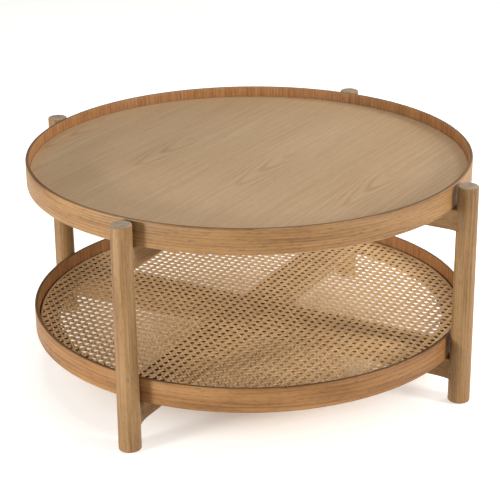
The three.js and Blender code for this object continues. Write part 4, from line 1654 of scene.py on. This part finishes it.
class TABLE_OT_hardware(bpy.types.Operator):
    """Make the screws and glides, and finish the hidden dowels"""
    bl_idname = "coffee_table.make_hardware"
    bl_label = "Make the hardware"

    def execute(self, context):
        zinc = make_hardware("zinc_plate", (0.50, 0.50, 0.52), 1.0, 0.36, 900, 0.15)
        nylon = make_hardware("brown_nylon", (0.045, 0.028, 0.018), 0.0, 0.5, 300, 0.25)
        raw = make_raw_dowel("raw_beech", (0.48, 0.31, 0.17), (0.66, 0.47, 0.29))
        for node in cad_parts:
            if node.startswith("screw"):
                make_screw(node, zinc)
            if node.startswith("dowel"):
                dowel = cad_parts[node]
                dowel.data.materials.clear()
                dowel.data.materials.append(raw)
        for corner in CORNERS:
            make_glide(corner, nylon)
        return {"FINISHED"}


class TABLE_OT_stage(bpy.types.Operator):
    """Set the pale floor, the white surround, the soft lights and the camera"""
    bl_idname = "coffee_table.set_stage"
    bl_label = "Set the stage"

    def execute(self, context):
        settings = context.scene.table_stage
        bm = bmesh.new()
        bmesh.ops.create_grid(bm, x_segments=8, y_segments=8, size=12)
        mesh = mesh_from(bm, "studio_floor")
        mesh.materials.append(
            make_floor("studio_paper", settings.floor_colour, settings.shade_colour, settings.floor_glow))
        floor = add_object("studio_floor", mesh)

        world = bpy.data.worlds.new("white_surround")
        world.use_nodes = True
        world.node_tree.nodes["Background"].inputs["Color"].default_value = (1, 1, 1, 1)
        world.node_tree.nodes["Background"].inputs["Strength"].default_value = settings.sky_strength
        context.scene.world = world
        context.scene.view_settings.view_transform = "Standard"

        add_softbox("overhead_softbox", (0.3, 0.4, 3.2), 2.4, settings.overhead_power)
        add_softbox("left_softbox", (-2.41, -0.97, 0.5), 0.6, settings.left_power)
        add_softbox("right_softbox", (1.93, -1.74, 0.95), 0.7, settings.right_power)
        add_softbox("back_softbox", (2.1, 0.5, 1.75), 0.9, settings.back_power)

        camera_data = bpy.data.cameras.new("studio_camera")
        camera_data.lens = settings.lens
        camera_data.sensor_width = 36
        camera = add_object("studio_camera", camera_data)
        turn = settings.camera_turn
        reach = settings.camera_distance
        camera.location = (reach * math.sin(turn), -reach * math.cos(turn), settings.camera_height)
        aim = Vector((0, 0, settings.aim_height)) - camera.location
        pointed = aim.to_track_quat("-Z", "Y").to_matrix().to_4x4()
        pointed = pointed @ Matrix.Rotation(settings.camera_roll, 4, "Z")
        camera.rotation_euler = pointed.to_euler()
        context.scene.camera = camera
        return {"FINISHED"}


class TABLE_PT_panel(bpy.types.Panel):
    """Buttons that make the table, group by group"""
    bl_label = "Coffee Table"
    bl_idname = "TABLE_PT_panel"
    bl_space_type = "VIEW_3D"
    bl_region_type = "UI"
    bl_category = "Coffee Table"

    def draw(self, context):
        for operator in OPERATORS:
            self.layout.operator(operator.bl_idname)
        for group in GROUPS:
            box = self.layout.box()
            settings = getattr(context.scene, group)
            for name in settings.bl_rna.properties.keys():
                if name not in ("rna_type", "name"):
                    box.prop(settings, name)


OPERATORS = (
    TABLE_OT_stage, TABLE_OT_trays, TABLE_OT_legs, TABLE_OT_rails, TABLE_OT_cane, TABLE_OT_hardware)
GROUPS = {
    "table_trays": TraySizes, "table_legs": LegSizes, "table_cane": CaneSizes, "table_stage": StageSettings}


def register():
    for group in GROUPS.values():
        bpy.utils.register_class(group)
    for name, group in GROUPS.items():
        setattr(bpy.types.Scene, name, bpy.props.PointerProperty(type=group))
    for operator in OPERATORS:
        bpy.utils.register_class(operator)
    bpy.utils.register_class(TABLE_PT_panel)


def unregister():
    bpy.utils.unregister_class(TABLE_PT_panel)
    for operator in reversed(OPERATORS):
        bpy.utils.unregister_class(operator)
    for name, group in GROUPS.items():
        delattr(bpy.types.Scene, name)
        bpy.utils.unregister_class(group)


def main():
    register()
    bpy.ops.coffee_table.set_stage()
    bpy.ops.coffee_table.make_trays()
    bpy.ops.coffee_table.make_legs()
    bpy.ops.coffee_table.make_rails()
    bpy.ops.coffee_table.weave_cane()
    bpy.ops.coffee_table.make_hardware()


if __name__ == "__main__":
    main()
